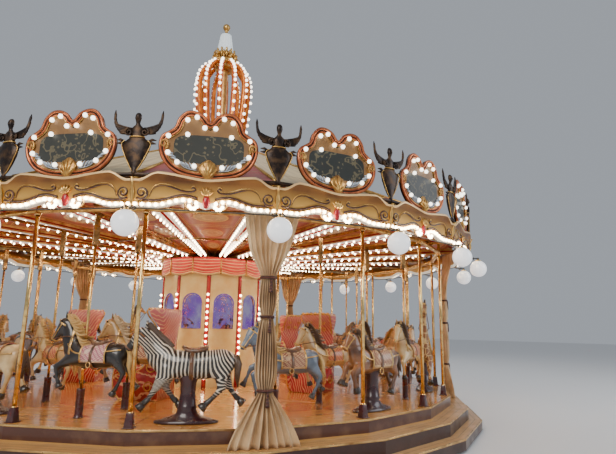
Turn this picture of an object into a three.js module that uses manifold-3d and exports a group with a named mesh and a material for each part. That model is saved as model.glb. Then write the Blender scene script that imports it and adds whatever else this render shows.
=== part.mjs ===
// A fairground carousel of ten metres: a fixed centre with a mast and a painted casing, and round it a
// turntable of twenty sectors, hung from radial sweeps by brass rods, with jumping horses, zebras, giraffes,
// chariots and curtains. Millimetres, +Z up, origin on the ground at the centre of the mast. Rod 0 stands on
// the -Y side.
import * as THREE from "three";
import { mergeVertices } from "three/addons/utils/BufferGeometryUtils.js";
import Module from "manifold-3d";

const wasm = await Module();
wasm.setup();

// Driving dimensions.
const SECTORS = 20;
const BAYS = 5;
const PER_BAY = SECTORS / BAYS;
const SECTOR = (2 * Math.PI) / SECTORS;
const TOUCH = 0.3;

const DECK_TOP = 540;
const DECK_THICK = 30;
const DECK_INNER = 1070;
const DECK_EDGE = 4540;
const RISER = 180;
const BOARD_THICK = 25;
const UPPER_STEP_EDGE = 4840;
const LOWER_STEP_EDGE = 5050;

const CASING_RADIUS = 965;
const CASING_TOP = 2860;
const VALANCE_RADIUS = 1000;
const VALANCE_DROP = 345;

const ROD_CIRCLE = 4450;
const ROD_RADIUS = 25;
const SOCKET_HEIGHT = 160;
const HUB_RADIUS = 340;
const SWEEP_LOW = 2890;
const SWEEP_START = 1000;
const SWEEP_SLOPE = 0.0648;
const SWEEP_DEPTH = 100;
const SWEEP_WIDTH = 60;
const BEAM_LOW = 2930;
const BEAM_TOP = 2990;

const BOARD_RADIUS = 5000;
const BOARD_INNER = BOARD_RADIUS - 110;
const BOARD_LOW = 2870;
const BOARD_TOP = 3200;
const SWEEP_END = BOARD_INNER - (SWEEP_WIDTH / 2) * Math.tan(SECTOR / 2) - TOUCH;

const ROOF_EDGE = 4880;
const ROOF_LOW = 3242;
const ROOF_NECK = 560;
const ROOF_HIGH = 5250;
const ROOF_THICK = 16;
const CROWN_TOP = 7270;
const POST_TOP = 7190;

const OUTER_ROW = 3990;
const STANDING_ROW = 4130;
const MIDDLE_ROW = 3280;
const CHARIOT_ROW = 2330;
const POLE_RADIUS = 18;
const SLEEVE_RADIUS = 46;
const SLEEVE_HEIGHT = 330;
const SLEEVE_BORE = 24;

// Height of the underside of a sweep at radius r.
const sweepLow = (r) => SWEEP_LOW + (r - SWEEP_START) * SWEEP_SLOPE;
const sweepTop = (r) => sweepLow(r) + SWEEP_DEPTH;

// A geometry as a solid with its faces pointing out, and a solid as a geometry.
function solid(geometry) {
  const bare = geometry.clone();
  bare.deleteAttribute("normal");
  bare.deleteAttribute("uv");
  const merged = mergeVertices(bare, 1e-3);
  const triangles = new Uint32Array(merged.index.array);
  const make = (triVerts) =>
    new wasm.Manifold(
      new wasm.Mesh({
        numProp: 3,
        vertProperties: new Float32Array(merged.attributes.position.array),
        triVerts,
      }),
    );
  const made = make(triangles);
  return made.volume() > 0 ? made : make(triangles.toReversed());
}

function geometryOf(made) {
  const mesh = made.getMesh();
  const geometry = new THREE.BufferGeometry();
  geometry.setAttribute("position", new THREE.BufferAttribute(mesh.vertProperties, 3));
  geometry.setIndex(new THREE.BufferAttribute(mesh.triVerts, 1));
  geometry.computeVertexNormals();
  return geometry;
}

const fuse = (solids) => solids.reduce((whole, next) => whole.add(next));
const placed = (made, matrix) => made.transform(matrix.elements);

// Radial frame at an angle counted from -Y: X outwards, Y along the ring, Z up.
const radial = (angle, radius = 0, height = 0) =>
  new THREE.Matrix4()
    .makeRotationZ(angle - Math.PI / 2)
    .multiply(new THREE.Matrix4().makeTranslation(radius, 0, height));

// Rider's frame at the same place: X forwards, clockwise round the ring, and Y outwards.
const riding = (angle, radius, height = 0) =>
  new THREE.Matrix4()
    .makeTranslation(radius * Math.sin(angle), -radius * Math.cos(angle), height)
    .multiply(new THREE.Matrix4().makeRotationZ(angle + Math.PI));

const each = (count, make) => Array.from({ length: count }, (_, i) => make(i));

// A closed profile of [radius, height] points turned round the axis.
function turned(profile, sides = SECTORS) {
  const points = [...profile, profile[0]].map(([r, z]) => new THREE.Vector2(r, z));
  return solid(new THREE.LatheGeometry(points, sides).rotateX(Math.PI / 2));
}

// A profile that starts and ends on the axis.
function turnedOnAxis(profile, sides) {
  const points = profile.map(([r, z]) => new THREE.Vector2(r, z));
  return solid(new THREE.LatheGeometry(points, sides).rotateX(Math.PI / 2));
}

function block(low, high) {
  const size = high.map((value, i) => value - low[i]);
  const middle = high.map((value, i) => (value + low[i]) / 2);
  return solid(new THREE.BoxGeometry(...size).translate(...middle));
}

function column(radius, low, high, sides, topRadius = radius) {
  const shape = new THREE.CylinderGeometry(topRadius, radius, high - low, sides);
  return solid(shape.rotateX(Math.PI / 2).translate(0, 0, (low + high) / 2));
}

// An upright outline in the X-Z plane, given thickness along Y.
function plate(outline, thick, curveSegments = 4) {
  const shape = outline instanceof THREE.Shape
    ? outline
    : new THREE.Shape(outline.map(([x, z]) => new THREE.Vector2(x, z)));
  const made = new THREE.ExtrudeGeometry(shape, { depth: thick, bevelEnabled: false, curveSegments });
  return solid(made.rotateX(Math.PI / 2).translate(0, thick / 2, 0));
}

// Rings of points joined one to the next, with flat ends, or closed round on themselves.
function loft(rings, closed = false) {
  const around = rings[0].length;
  const position = rings.flat().flat();
  const index = [];
  const joins = closed ? rings.length : rings.length - 1;
  for (let i = 0; i < joins; i++) {
    const a = i * around;
    const b = ((i + 1) % rings.length) * around;
    for (let k = 0; k < around; k++) {
      const n = (k + 1) % around;
      index.push(a + k, a + n, b + n, a + k, b + n, b + k);
    }
  }
  if (!closed) {
    const last = (rings.length - 1) * around;
    for (let k = 1; k < around - 1; k++) {
      index.push(0, k + 1, k, last, last + k, last + k + 1);
    }
  }
  const geometry = new THREE.BufferGeometry();
  geometry.setAttribute("position", new THREE.Float32BufferAttribute(position, 3));
  geometry.setIndex(index);
  return solid(geometry);
}

// A limb or trunk through stations [x, z, slope in degrees, half height, half width], at a side offset y.
function limb(stations, sides, y = 0) {
  return loft(
    stations.map(([x, z, slope, tall, wide]) => {
      const turn = THREE.MathUtils.degToRad(slope);
      return each(sides, (k) => {
        const a = ((k + 0.5) * 2 * Math.PI) / sides;
        const up = Math.sin(a) * tall;
        return [x - up * Math.sin(turn), y + Math.cos(a) * wide, z + up * Math.cos(turn)];
      });
    }),
  );
}

// Pieces of the fixed centre.
const BEAM_LENGTH = 3900;
const BEAM_HEIGHT = 140;
const MAST_RADIUS = 150;
const HUB_SEAT = 2720;

function baseFrame() {
  const beams = each(10, (i) =>
    placed(block([900, -60, 0], [BEAM_LENGTH, 60, BEAM_HEIGHT]), radial((2 * i + 1) * SECTOR)),
  );
  return fuse([column(1080, 0, BEAM_HEIGHT, 10), ...beams]);
}

function centreMast() {
  const foot = BEAM_HEIGHT + TOUCH;
  const tube = column(MAST_RADIUS, foot, HUB_SEAT, 12);
  const flange = column(300, foot, foot + 40, 12);
  const seat = column(260, HUB_SEAT - 60, HUB_SEAT, 12);
  return fuse([tube, flange, seat, column(90, HUB_SEAT, HUB_SEAT + 340, 12)]);
}

const CASING_SIDES = 10;
const MIRROR_WIDTH = 330;
const MIRROR_LOW = 1570;
const MIRROR_SPRING = 2010;
const MIRROR_RECESS = 12;
const CASING_TURN = -12;

// Ten painted boards with an arched mirror let into each.
function centreCasing() {
  const foot = BEAM_HEIGHT + TOUCH;
  const inner = CASING_RADIUS - 40;
  const wall = turned(
    [[CASING_RADIUS, foot], [CASING_RADIUS, CASING_TOP], [inner, CASING_TOP], [inner, foot]],
    CASING_SIDES,
  );
  const face = CASING_RADIUS * Math.cos(Math.PI / CASING_SIDES);
  const arch = new THREE.Shape();
  arch.moveTo(-MIRROR_WIDTH / 2, MIRROR_LOW);
  arch.lineTo(MIRROR_WIDTH / 2, MIRROR_LOW);
  arch.lineTo(MIRROR_WIDTH / 2, MIRROR_SPRING);
  arch.absarc(0, MIRROR_SPRING, MIRROR_WIDTH / 2, 0, Math.PI);
  const cut = plate(arch, MIRROR_RECESS * 2, 3).rotate([0, 0, 90]);
  const recesses = each(CASING_SIDES, (i) => placed(cut, radial((2 * i + 1) * SECTOR, face)));
  return recesses.reduce((whole, next) => whole.subtract(next), wall).rotate([0, 0, CASING_TURN]);
}

const SWAGS = 12;
const SWAG_STEPS = 5;

// The swagged red valance round the head of the casing.
function casingValance() {
  const count = SWAGS * SWAG_STEPS;
  const rings = each(count, (i) => {
    const a = (i * 2 * Math.PI) / count;
    const sag = Math.sin((Math.PI * (i % SWAG_STEPS)) / SWAG_STEPS) * 60;
    const low = CASING_TOP - VALANCE_DROP + 60 - sag;
    const at = (r, z) => [r * Math.sin(a), -r * Math.cos(a), z];
    return [
      at(VALANCE_RADIUS + 25, low),
      at(VALANCE_RADIUS, CASING_TOP),
      at(CASING_RADIUS + TOUCH, CASING_TOP),
      at(CASING_RADIUS + 14, low),
    ];
  });
  return loft(rings, true);
}

// The four jumping horses of a bay: sector of the pole counted from the bay's curtain, row, and height at rest.
const JUMPERS = [
  { set: "leading", sector: -1.63, row: OUTER_ROW, rest: 30 },
  { set: "following", sector: 0.24, row: OUTER_ROW, rest: -30 },
  { set: "inner", sector: -1.46, row: MIDDLE_ROW, rest: 30 },
  { set: "middle", sector: 1.21, row: MIDDLE_ROW, rest: -30 },
];
const BAY_ANGLE = SECTOR * PER_BAY;
const jumpers = each(BAYS, (bay) =>
  JUMPERS.map(({ set, sector, row, rest }) => ({
    name: `horse_${set}_${bay + 1}`, angle: bay * BAY_ANGLE + sector * SECTOR, row, rest,
  })),
).flat();

function sleeve(radius, bore, low, high, sides) {
  return column(radius, low, high, sides).subtract(column(bore, low - 1, high + 1, sides));
}

// The boarded deck with the sleeves that take the lower ends of the horses' poles.
function platformDeck() {
  const low = DECK_TOP - DECK_THICK;
  const ring = turned([[DECK_EDGE, low], [DECK_EDGE, DECK_TOP], [DECK_INNER, DECK_TOP], [DECK_INNER, low]]);
  const tube = sleeve(SLEEVE_RADIUS, SLEEVE_BORE, DECK_TOP - 5, DECK_TOP + SLEEVE_HEIGHT, 6);
  return fuse([ring, ...jumpers.map(({ angle, row }) => placed(tube, riding(angle, row)))]);
}

// Radial stringers with stair-shaped ends that carry the deck and both steps, tied by two rings.
function platformJoists() {
  const top = DECK_TOP - DECK_THICK - TOUCH;
  const low = top - 80;
  const upper = 2 * RISER - BOARD_THICK - TOUCH;
  const lower = RISER - BOARD_THICK - TOUCH;
  const outline = [
    [DECK_INNER, low], [4380, low], [4380, 40], [LOWER_STEP_EDGE - 60, 40], [LOWER_STEP_EDGE - 60, lower],
    [UPPER_STEP_EDGE - 70, lower], [UPPER_STEP_EDGE - 70, upper], [DECK_EDGE - 70, upper],
    [DECK_EDGE - 70, top], [DECK_INNER, top],
  ];
  const stringer = plate(outline, 40);
  const ring = turned([[4340, low + 12], [4340, top - 6], [4280, top - 6], [4280, low + 12]]);
  const stringers = each(SECTORS, (i) => placed(stringer, radial(i * SECTOR)));
  return fuse([ring, ...stringers]);
}

function platformFascia() {
  const low = 2 * RISER + TOUCH;
  const inner = DECK_EDGE + TOUCH;
  return turned([[inner + 22, low], [inner + 22, DECK_TOP], [inner, DECK_TOP], [inner, low]]);
}

// A step is a tread board with a riser board under its nosing, in one ring.
function step(inner, edge, top, riserLow) {
  const under = top - BOARD_THICK;
  return turned([
    [edge, riserLow], [edge, top], [inner, top], [inner, under], [edge - 25, under], [edge - 25, riserLow],
  ]);
}

// Twenty brass rods on their tapered sockets, threaded through the outer ring beam.
function dropRods() {
  const rodTop = sweepLow(ROD_CIRCLE - ROD_RADIUS) - TOUCH;
  const top = DECK_TOP + SOCKET_HEIGHT;
  const socket = column(72, DECK_TOP + TOUCH, top, 4, 50).rotate([0, 0, 45]);
  const rod = fuse([socket, column(ROD_RADIUS, top - 30, rodTop, 6)]);
  const outer = ROD_CIRCLE + 30;
  const inner = ROD_CIRCLE - 30;
  const beam = turned([[outer, BEAM_LOW], [outer, BEAM_TOP], [inner, BEAM_TOP], [inner, BEAM_LOW]]);
  return fuse([beam, ...each(SECTORS, (i) => placed(rod, radial(i * SECTOR, ROD_CIRCLE)))]);
}

const HUB_LOW = HUB_SEAT + TOUCH;
const HUB_TOP = 3080;
const POST_RADIUS = 80;

// The spinning head: hub, twenty sweeps and the king post that carries the roof and the crown.
function sweepFrame() {
  const start = HUB_RADIUS - 60;
  const outline = [
    [start, sweepLow(start)], [SWEEP_END, sweepLow(SWEEP_END)],
    [SWEEP_END, sweepTop(SWEEP_END)], [start, sweepTop(start)],
  ];
  const beam = plate(outline, SWEEP_WIDTH);
  const sweeps = each(SECTORS, (i) => placed(beam, radial(i * SECTOR)));
  const hub = column(HUB_RADIUS, HUB_LOW, HUB_TOP, 20).subtract(column(96, HUB_LOW - 1, HUB_SEAT + 346, 12));
  return fuse([hub, ...sweeps, column(POST_RADIUS, HUB_TOP - 10, POST_TOP, 12)]);
}

const CRANK_RADIUS = 22;
const HANGER_LOW = 2600;
const CRANK_STOP = 30;
const BEARING_RING = 2400;
const crankHeight = (r) => 2890 + (r - 500) * 0.0325;

// A radial crankshaft over each jumping horse with a square hanger round its pole, all in one ring of bearings.
function crankShafts() {
  const start = 1130;
  const end = 4440;
  const rise = crankHeight(end) - crankHeight(start);
  const run = end - start;
  const shaft = solid(
    new THREE.CylinderGeometry(CRANK_RADIUS, CRANK_RADIUS, Math.hypot(rise, run), 4)
      .rotateZ(-Math.PI / 2)
      .rotateY(-Math.atan2(rise, run))
      .translate((start + end) / 2, 0, (crankHeight(start) + crankHeight(end)) / 2),
  );
  const shafts = jumpers.map(({ angle }) => placed(shaft, radial(angle)));
  const under = sweepLow(BEARING_RING - 20) - TOUCH;
  const bearings = turned([
    [BEARING_RING + 20, under - 32], [BEARING_RING + 20, under],
    [BEARING_RING - 20, under], [BEARING_RING - 20, under - 32],
  ]);
  const hangers = jumpers.map(({ angle, row }) => {
    const top = crankHeight(row);
    const bore = column(POLE_RADIUS + 8, HANGER_LOW - 1, top - CRANK_STOP, 4);
    return placed(column(46, HANGER_LOW, top, 4).subtract(bore), riding(angle, row));
  });
  return fuse([bearings, ...shafts, ...hangers]);
}

const CEILING_THICK = 12;

function ceiling() {
  const inner = HUB_RADIUS + 20;
  const outer = SWEEP_END - 120;
  const low = (r) => sweepTop(r) + TOUCH;
  return turned([
    [outer, low(outer)], [outer, low(outer) + CEILING_THICK],
    [inner, low(inner) + CEILING_THICK], [inner, low(inner)],
  ]);
}

const WAVES = 4;

// The rounding boards: a coved cornice all round, scalloped below and waved above in every sector.
function roundingBoards() {
  const count = SECTORS * WAVES;
  const rings = each(count, (i) => {
    const part = (i % WAVES) / WAVES;
    const off = (part - 0.5) * SECTOR;
    const a = (i * 2 * Math.PI) / count;
    const flat = i % WAVES === 0 ? 1 : Math.cos(SECTOR / 2) / Math.cos(off);
    const wave = Math.cos(part * 4 * Math.PI);
    const low = BOARD_LOW + 35 - 35 * wave;
    const top = BOARD_TOP - 15 - 15 * wave;
    const at = (r, z) => [r * flat * Math.sin(a), -r * flat * Math.cos(a), z];
    return [
      at(BOARD_RADIUS - 50, low), at(BOARD_RADIUS + 20, top), at(BOARD_INNER, top), at(BOARD_INNER, low),
    ];
  });
  return loft(rings, true);
}

// The lobed frame of a lit cartouche, 1.1 m wide, standing on the cornice.
function cartoucheShape() {
  const half = [[0, -400], [440, -290], [548, -40], [470, 140], [340, 350], [110, 390]];
  const mirrored = half.slice(1).map(([x, z]) => [-x, z]);
  return [...half, [0, 265], ...mirrored.reverse()];
}

const CREST_LOW = BOARD_TOP + TOUCH;

// A winged term figure in outline: a tapering shaft, shoulders and head between two raised wings.
const TERM_HALF = [[0, 3205], [60, 3300], [128, 3600], [265, 3925], [110, 3790], [52, 3770], [56, 3890]];

function wingedTerm() {
  const mirrored = TERM_HALF.slice(1).map(([x, z]) => [-x, z]);
  return plate([...TERM_HALF, [0, 3930], ...mirrored.reverse()], 56).rotate([0, 0, 90]);
}

function crest() {
  const outer = BOARD_RADIUS - 5;
  const rail = turned([
    [outer, CREST_LOW], [outer, CREST_LOW + 40], [outer - 60, CREST_LOW + 40], [outer - 60, CREST_LOW],
  ]);
  const face = (outer - 28) * Math.cos(SECTOR / 2);
  const cartouche = plate(cartoucheShape(), 56).rotate([0, 0, 90]).translate([face, 0, 3606]);
  const term = wingedTerm().translate([outer - 32, 0, 0]);
  const cartouches = each(SECTORS, (i) => placed(cartouche, radial((i + 0.5) * SECTOR)));
  const terms = each(SECTORS, (i) => placed(term, radial(i * SECTOR)));
  return fuse([rail, ...cartouches, ...terms]);
}

const GLOBE_RADIUS = 140;
const GLOBE_HEIGHT = 2660;
const GLOBE_CIRCLE = 5105;

// Globe lamps on arms that reach out from one feed conduit under the corners of the rounding boards.
function globeLamps() {
  const centre = BOARD_RADIUS - 78;
  const top = BOARD_LOW - TOUCH;
  const ring = turned([[centre + 9, top - 18], [centre + 9, top], [centre - 9, top], [centre - 9, top - 18]]);
  const neck = top - 20;
  const lamp = turnedOnAxis([
    [0, GLOBE_HEIGHT - GLOBE_RADIUS], [126, GLOBE_HEIGHT - 60], [126, GLOBE_HEIGHT + 60],
    [16, GLOBE_HEIGHT + 138], [0, neck],
  ], 5);
  const arm = block([centre - 5, -11, top - 34], [GLOBE_CIRCLE + 14, 11, top - 10]);
  const lamps = each(SECTORS, (i) => [
    placed(arm, radial(i * SECTOR)), placed(lamp, radial(i * SECTOR, GLOBE_CIRCLE)),
  ]);
  return fuse([ring, ...lamps.flat()]);
}

// A gathered curtain: fanned out under the cornice, tied three times and flared on the upper step.
function curtain(bay) {
  const centre = 4680;
  const head = centre + 105;
  const stations = [
    [360.5, 430, 72, 30], [600, 330, 72, 25], [950, 94, 66, 0], [1350, 132, 88, 0], [1740, 82, 66, 0],
    [1960, 112, 88, 0], [2180, 98, 70, 0], [2480, 240, 50, 5], [sweepLow(head - 50) - TOUCH, 390, 46, 105],
  ];
  const rings = stations.map(([z, wide, deep, out]) =>
    each(8, (k) => {
      const a = (k * Math.PI) / 4;
      return [centre + out + deep * Math.cos(a), wide * Math.sin(a), z];
    }),
  );
  return placed(loft(rings), radial(bay * BAY_ANGLE));
}

function roof() {
  return turned([
    [ROOF_EDGE, ROOF_LOW], [ROOF_EDGE, ROOF_LOW + ROOF_THICK],
    [ROOF_NECK, ROOF_HIGH + ROOF_THICK], [ROOF_NECK, ROOF_HIGH],
  ]);
}

const RIBS = 12;
const RIB_OUTLINE = [
  [500, 5480], [575, 6100], [600, 6500], [598, 6750], [555, 6950], [450, 7120], [290, 7262],
  [200, 7235], [370, 7060], [455, 6900], [480, 6700], [475, 6450], [440, 6100], [360, 5480],
];

// Twelve bowed ribs between a base drum on the roof's neck and a cap on the king post, under the spire.
function roofCrown() {
  const rib = plate(RIB_OUTLINE, 90);
  const low = ROOF_HIGH + ROOF_THICK + TOUCH;
  const drum = turned([
    [ROOF_NECK + 60, low], [ROOF_NECK, low + 260], [ROOF_NECK - 180, low + 260], [ROOF_NECK - 180, low],
  ], RIBS);
  const bore = POST_RADIUS + 8;
  const cap = turnedOnAxis([
    [0, POST_TOP + TOUCH], [bore, POST_TOP + TOUCH], [bore, POST_TOP - 80], [200, POST_TOP - 80],
    [300, CROWN_TOP], [0, CROWN_TOP],
  ], RIBS);
  const ribs = each(RIBS, (i) => placed(rib, radial(((i + 0.5) * 2 * Math.PI) / RIBS)));
  return fuse([drum, cap, ...ribs]);
}

function crownSpire() {
  const low = CROWN_TOP + TOUCH;
  return turnedOnAxis([
    [0, low], [300, low], [322, low + 60], [300, 7440], [195, 7545], [145, 7740], [114, 7975], [56, 7995],
    [36, 8090], [80, 8150], [82, 8200], [50, 8245], [0, 8262],
  ], 10);
}

// Figures, in the rider's frame with the origin at the middle of the barrel. Stations as in limb().
const HORSE = [
  [-410, 20, 0, 70, 62], [-300, 12, 0, 152, 136], [170, -5, 0, 142, 130], [310, 85, 40, 150, 92],
  [385, 250, 62, 92, 54], [440, 375, 0, 84, 50], [600, 180, -58, 40, 34],
];
const ZEBRA = [
  [-520, 10, 0, 84, 75], [-390, 5, 0, 176, 148], [190, 0, 0, 166, 146], [330, 85, 40, 168, 104],
  [440, 235, 55, 104, 60], [535, 345, 0, 86, 54], [710, 150, -56, 44, 38],
];
const PEDESTAL = [
  [-500, 10, 0, 80, 72], [-370, 8, 0, 176, 146], [190, 0, 0, 168, 144], [320, 90, 42, 162, 100],
  [365, 235, 62, 100, 58], [395, 320, 0, 84, 52], [540, 165, -50, 42, 36],
];
const GIRAFFE = [
  [-480, 20, 0, 80, 72], [-350, 0, 0, 170, 140], [190, 10, 0, 176, 140], [310, 150, 40, 160, 94],
  [390, 480, 72, 84, 54], [420, 790, 30, 62, 46], [620, 690, -26, 38, 34],
];
const HORSE_TAIL = [[-350, 70, 50, 40, 34], [-480, -190, 84, 34, 26]];
const STANDER_TAIL = [[-440, 60, 50, 40, 34], [-560, -190, 84, 34, 26]];

const GALLOP = [
  { y: 72, path: [[210, -50, -60, 84, 54], [470, -150, -90, 44, 36], [410, -340, -100, 36, 30]] },
  { y: -72, path: [[210, -50, -50, 84, 54], [450, -70, -80, 42, 36], [520, -250, -95, 36, 30]] },
  { y: 78, path: [[-280, -40, -120, 108, 58], [-430, -190, -90, 46, 38], [-330, -410, -70, 38, 32]] },
  { y: -78, path: [[-280, -40, -110, 108, 58], [-400, -170, -100, 46, 38], [-500, -340, -120, 38, 32]] },
];
const STRIDE = [
  { y: 80, path: [[220, -80, -70, 96, 58], [350, -280, -90, 44, 36], [495, -450, -60, 38, 32]] },
  { y: -80, path: [[210, -80, -90, 96, 58], [270, -290, -90, 42, 36], [110, -460, -110, 38, 32]] },
  { y: 84, path: [[-360, -60, -90, 122, 62], [-370, -290, -90, 46, 38], [-200, -460, -70, 38, 32]] },
  { y: -84, path: [[-360, -60, -110, 122, 62], [-450, -270, -90, 46, 38], [-600, -430, -60, 38, 32]] },
];

function figure(trunk, tail, legs) {
  return fuse([limb(trunk, 6), limb(tail, 3), ...legs.map(({ y, path }) => limb(path, 3, y))]);
}

const BARREL_HEIGHT = DECK_TOP + 690;
const POLE_LOW = DECK_TOP + 165;
const POLE_TOP = 2765;
const POLE_AHEAD = 150;
const horse = figure(HORSE, HORSE_TAIL, GALLOP);

// A galloping horse with its pole before the saddle, at its place for the rest position of its crank.
function jumpingHorse({ angle, row, rest }) {
  const pole = column(POLE_RADIUS, POLE_LOW, POLE_TOP, 5);
  return placed(fuse([horse.translate([-POLE_AHEAD, 0, BARREL_HEIGHT]), pole]), riding(angle, row, rest));
}

const STANDING_BARREL = DECK_TOP + 655;

// An animal on a carved column with a spreading foot, bolted to the deck.
function standingAnimal(trunk, legs, angle) {
  const foot = loft([[0, 380, 160], [120, 130, 100]].map(([z, long, wide]) =>
    each(6, (k) => {
      const a = ((k + 0.5) * Math.PI) / 3;
      return [long * Math.cos(a), wide * Math.sin(a), DECK_TOP + TOUCH + z];
    }),
  ));
  const post = column(100, DECK_TOP + 60, STANDING_BARREL - 80, 6, 84);
  const animal = figure(trunk, STANDER_TAIL, legs).translate([0, 0, STANDING_BARREL]);
  return placed(fuse([foot, post, animal]), riding(angle, STANDING_ROW));
}

// A chariot with curled sides, a bench and a high back that flares into a hood.
function chariot(bay) {
  const low = DECK_TOP + TOUCH;
  const side = new THREE.Shape();
  side.moveTo(-330, 0);
  side.lineTo(260, 0);
  side.quadraticCurveTo(430, 110, 400, 380);
  side.quadraticCurveTo(380, 480, 290, 480);
  side.quadraticCurveTo(220, 310, 40, 390);
  side.quadraticCurveTo(-110, 460, -230, 720);
  side.lineTo(-330, 720);
  const wall = plate(side, 36, 3).translate([0, 0, low]);
  const bench = block([-300, -250, low], [40, 250, low + 380]);
  const floor = block([-300, -250, low], [290, 250, low + 60]);
  const front = block([262, -250, low], [300, 250, low + 350]);
  const back = plate([[-330, 0], [-260, 0], [-300, 1090], [-350, 1090]], 500, 1).translate([0, 0, low]);
  const flare = [[980, -290, 236, 90], [1200, -130, 290, 270], [1320, -90, 300, 290]];
  const hood = loft(flare.map(([z, lip, wide, deep]) => [
    [lip, -wide, low + z], [lip, wide, low + z], [lip - deep, wide, low + z], [lip - deep, -wide, low + z],
  ]));
  const walls = [-252, 252].map((y) => wall.translate([0, y, 0]));
  const place = riding(bay * BAY_ANGLE - 1.7 * SECTOR, CHARIOT_ROW);
  return placed(fuse([...walls, bench, floor, front, back, hood]), place);
}

// Materials and the scene.
const carousel = new THREE.Group();
function finish(color, roughness, metalness = 0) {
  return new THREE.MeshStandardMaterial({ color, roughness, metalness });
}

const iron = finish(0x2b2f33, 0.55, 0.7);
const brass = finish(0xd9a441, 0.25, 0.95);
const cream = finish(0xe8d29a, 0.5);
const scarlet = finish(0xb3161c, 0.6);
const maple = finish(0xc9822f, 0.45);
const maroon = finish(0x4a1014, 0.5);
const gilt = finish(0xb98130, 0.35, 0.6);
const bronze = finish(0x3a2a1e, 0.45, 0.5);
const opal = finish(0xf4f4ee, 0.3);
const voile = finish(0xcdb68c, 0.85);
const zebraCoat = finish(0xe9dfcf, 0.4);
const ivoryCoat = finish(0xe6d3a5, 0.35);

function piece(name, made, material) {
  const mesh = new THREE.Mesh(geometryOf(made), material);
  mesh.name = name;
  carousel.add(mesh);
}

piece("base_frame", baseFrame(), iron);
piece("centre_mast", centreMast(), iron);
piece("centre_casing", centreCasing(), cream);
piece("casing_valance", casingValance(), scarlet);
piece("platform_deck", platformDeck(), maple);
piece("platform_joists", platformJoists(), iron);
piece("platform_fascia", platformFascia(), maroon);
piece("upper_step", step(DECK_EDGE - 60, UPPER_STEP_EDGE, 2 * RISER, RISER + TOUCH), maple);
piece("lower_step", step(UPPER_STEP_EDGE - 60, LOWER_STEP_EDGE, RISER, 30), maple);
piece("drop_rods", dropRods(), brass);
piece("sweep_frame", sweepFrame(), gilt);
piece("crank_shafts", crankShafts(), iron);
piece("ceiling", ceiling(), scarlet);
piece("rounding_boards", roundingBoards(), gilt);
piece("crest", crest(), bronze);
piece("globe_lamps", globeLamps(), opal);
each(BAYS, (bay) => piece(`curtain_${bay + 1}`, curtain(bay), voile));
piece("roof", roof(), cream);
piece("roof_crown", roofCrown(), gilt);
piece("crown_spire", crownSpire(), opal);
jumpers.forEach((one) => piece(one.name, jumpingHorse(one), ivoryCoat));
each(BAYS, (bay) => {
  const angle = bay * BAY_ANGLE - 0.59 * SECTOR;
  const tall = bay % 2 === 1;
  const animal = standingAnimal(tall ? GIRAFFE : ZEBRA, STRIDE, angle);
  piece(`${tall ? "giraffe" : "zebra"}_${bay + 1}`, animal, zebraCoat);
});
each(BAYS, (bay) => {
  const angle = bay * BAY_ANGLE + 1.38 * SECTOR;
  piece(`pedestal_horse_${bay + 1}`, standingAnimal(PEDESTAL, GALLOP, angle), bronze);
});
each(BAYS, (bay) => piece(`chariot_${bay + 1}`, chariot(bay), scarlet));

export default carousel;
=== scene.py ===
from math import atan2, cos, pi, radians, sin

import bmesh
import bpy
from mathutils import Matrix, Vector


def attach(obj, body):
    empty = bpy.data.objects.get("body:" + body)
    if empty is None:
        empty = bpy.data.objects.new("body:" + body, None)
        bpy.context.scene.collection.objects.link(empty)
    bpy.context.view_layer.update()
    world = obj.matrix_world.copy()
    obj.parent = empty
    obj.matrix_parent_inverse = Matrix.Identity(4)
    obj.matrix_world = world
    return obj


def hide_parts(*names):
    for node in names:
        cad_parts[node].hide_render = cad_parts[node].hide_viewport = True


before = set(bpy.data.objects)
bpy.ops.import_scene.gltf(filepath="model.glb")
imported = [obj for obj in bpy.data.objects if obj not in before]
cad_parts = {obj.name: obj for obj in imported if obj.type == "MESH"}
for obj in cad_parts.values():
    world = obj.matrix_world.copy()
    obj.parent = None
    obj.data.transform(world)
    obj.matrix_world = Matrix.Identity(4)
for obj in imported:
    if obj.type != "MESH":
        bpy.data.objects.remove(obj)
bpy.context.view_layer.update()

# Camera and studio: the carousel stands on a pale floor in soft light, seen from a visitor's eye height a few steps
# from its edge, turned to the right of the mast and tilted up.
EYE = Vector((-1.361, -10.195, 1.673))
HEADING = 0.3192
TILT = 0.1927
ROLL = 0.0178
camera = bpy.data.objects.new("camera", bpy.data.cameras.new("camera"))
camera.data.sensor_width = 36
camera.data.lens = 29.03
camera.data.clip_end = 200
aim = Matrix.Rotation(-HEADING, 4, "Z") @ Matrix.Rotation(pi / 2 + TILT, 4, "X") @ Matrix.Rotation(ROLL, 4, "Z")
camera.matrix_world = Matrix.Translation(EYE) @ aim
bpy.context.scene.collection.objects.link(camera)
bpy.context.scene.camera = camera

ground = bmesh.new()
bmesh.ops.create_circle(ground, cap_ends=True, segments=64, radius=60)
ground_mesh = bpy.data.meshes.new("floor")
ground.to_mesh(ground_mesh)
floor = bpy.data.objects.new("floor", ground_mesh)
bpy.context.scene.collection.objects.link(floor)

SKY = (0.80, 0.86, 0.95)
world = bpy.data.worlds.new("studio")
world.use_nodes = True
world.node_tree.nodes["Background"].inputs["Color"].default_value = (*SKY, 1)
world.node_tree.nodes["Background"].inputs["Strength"].default_value = 0.45
bpy.context.scene.world = world


def soft_light(name, place, target, size, power, colour):
    light = bpy.data.lights.new(name, "AREA")
    light.size = size
    light.energy = power
    light.color = colour
    lamp = bpy.data.objects.new(name, light)
    facing = (Vector(target) - Vector(place)).to_track_quat("-Z", "Y").to_matrix().to_4x4()
    lamp.matrix_world = Matrix.Translation(place) @ facing
    bpy.context.scene.collection.objects.link(lamp)


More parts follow.
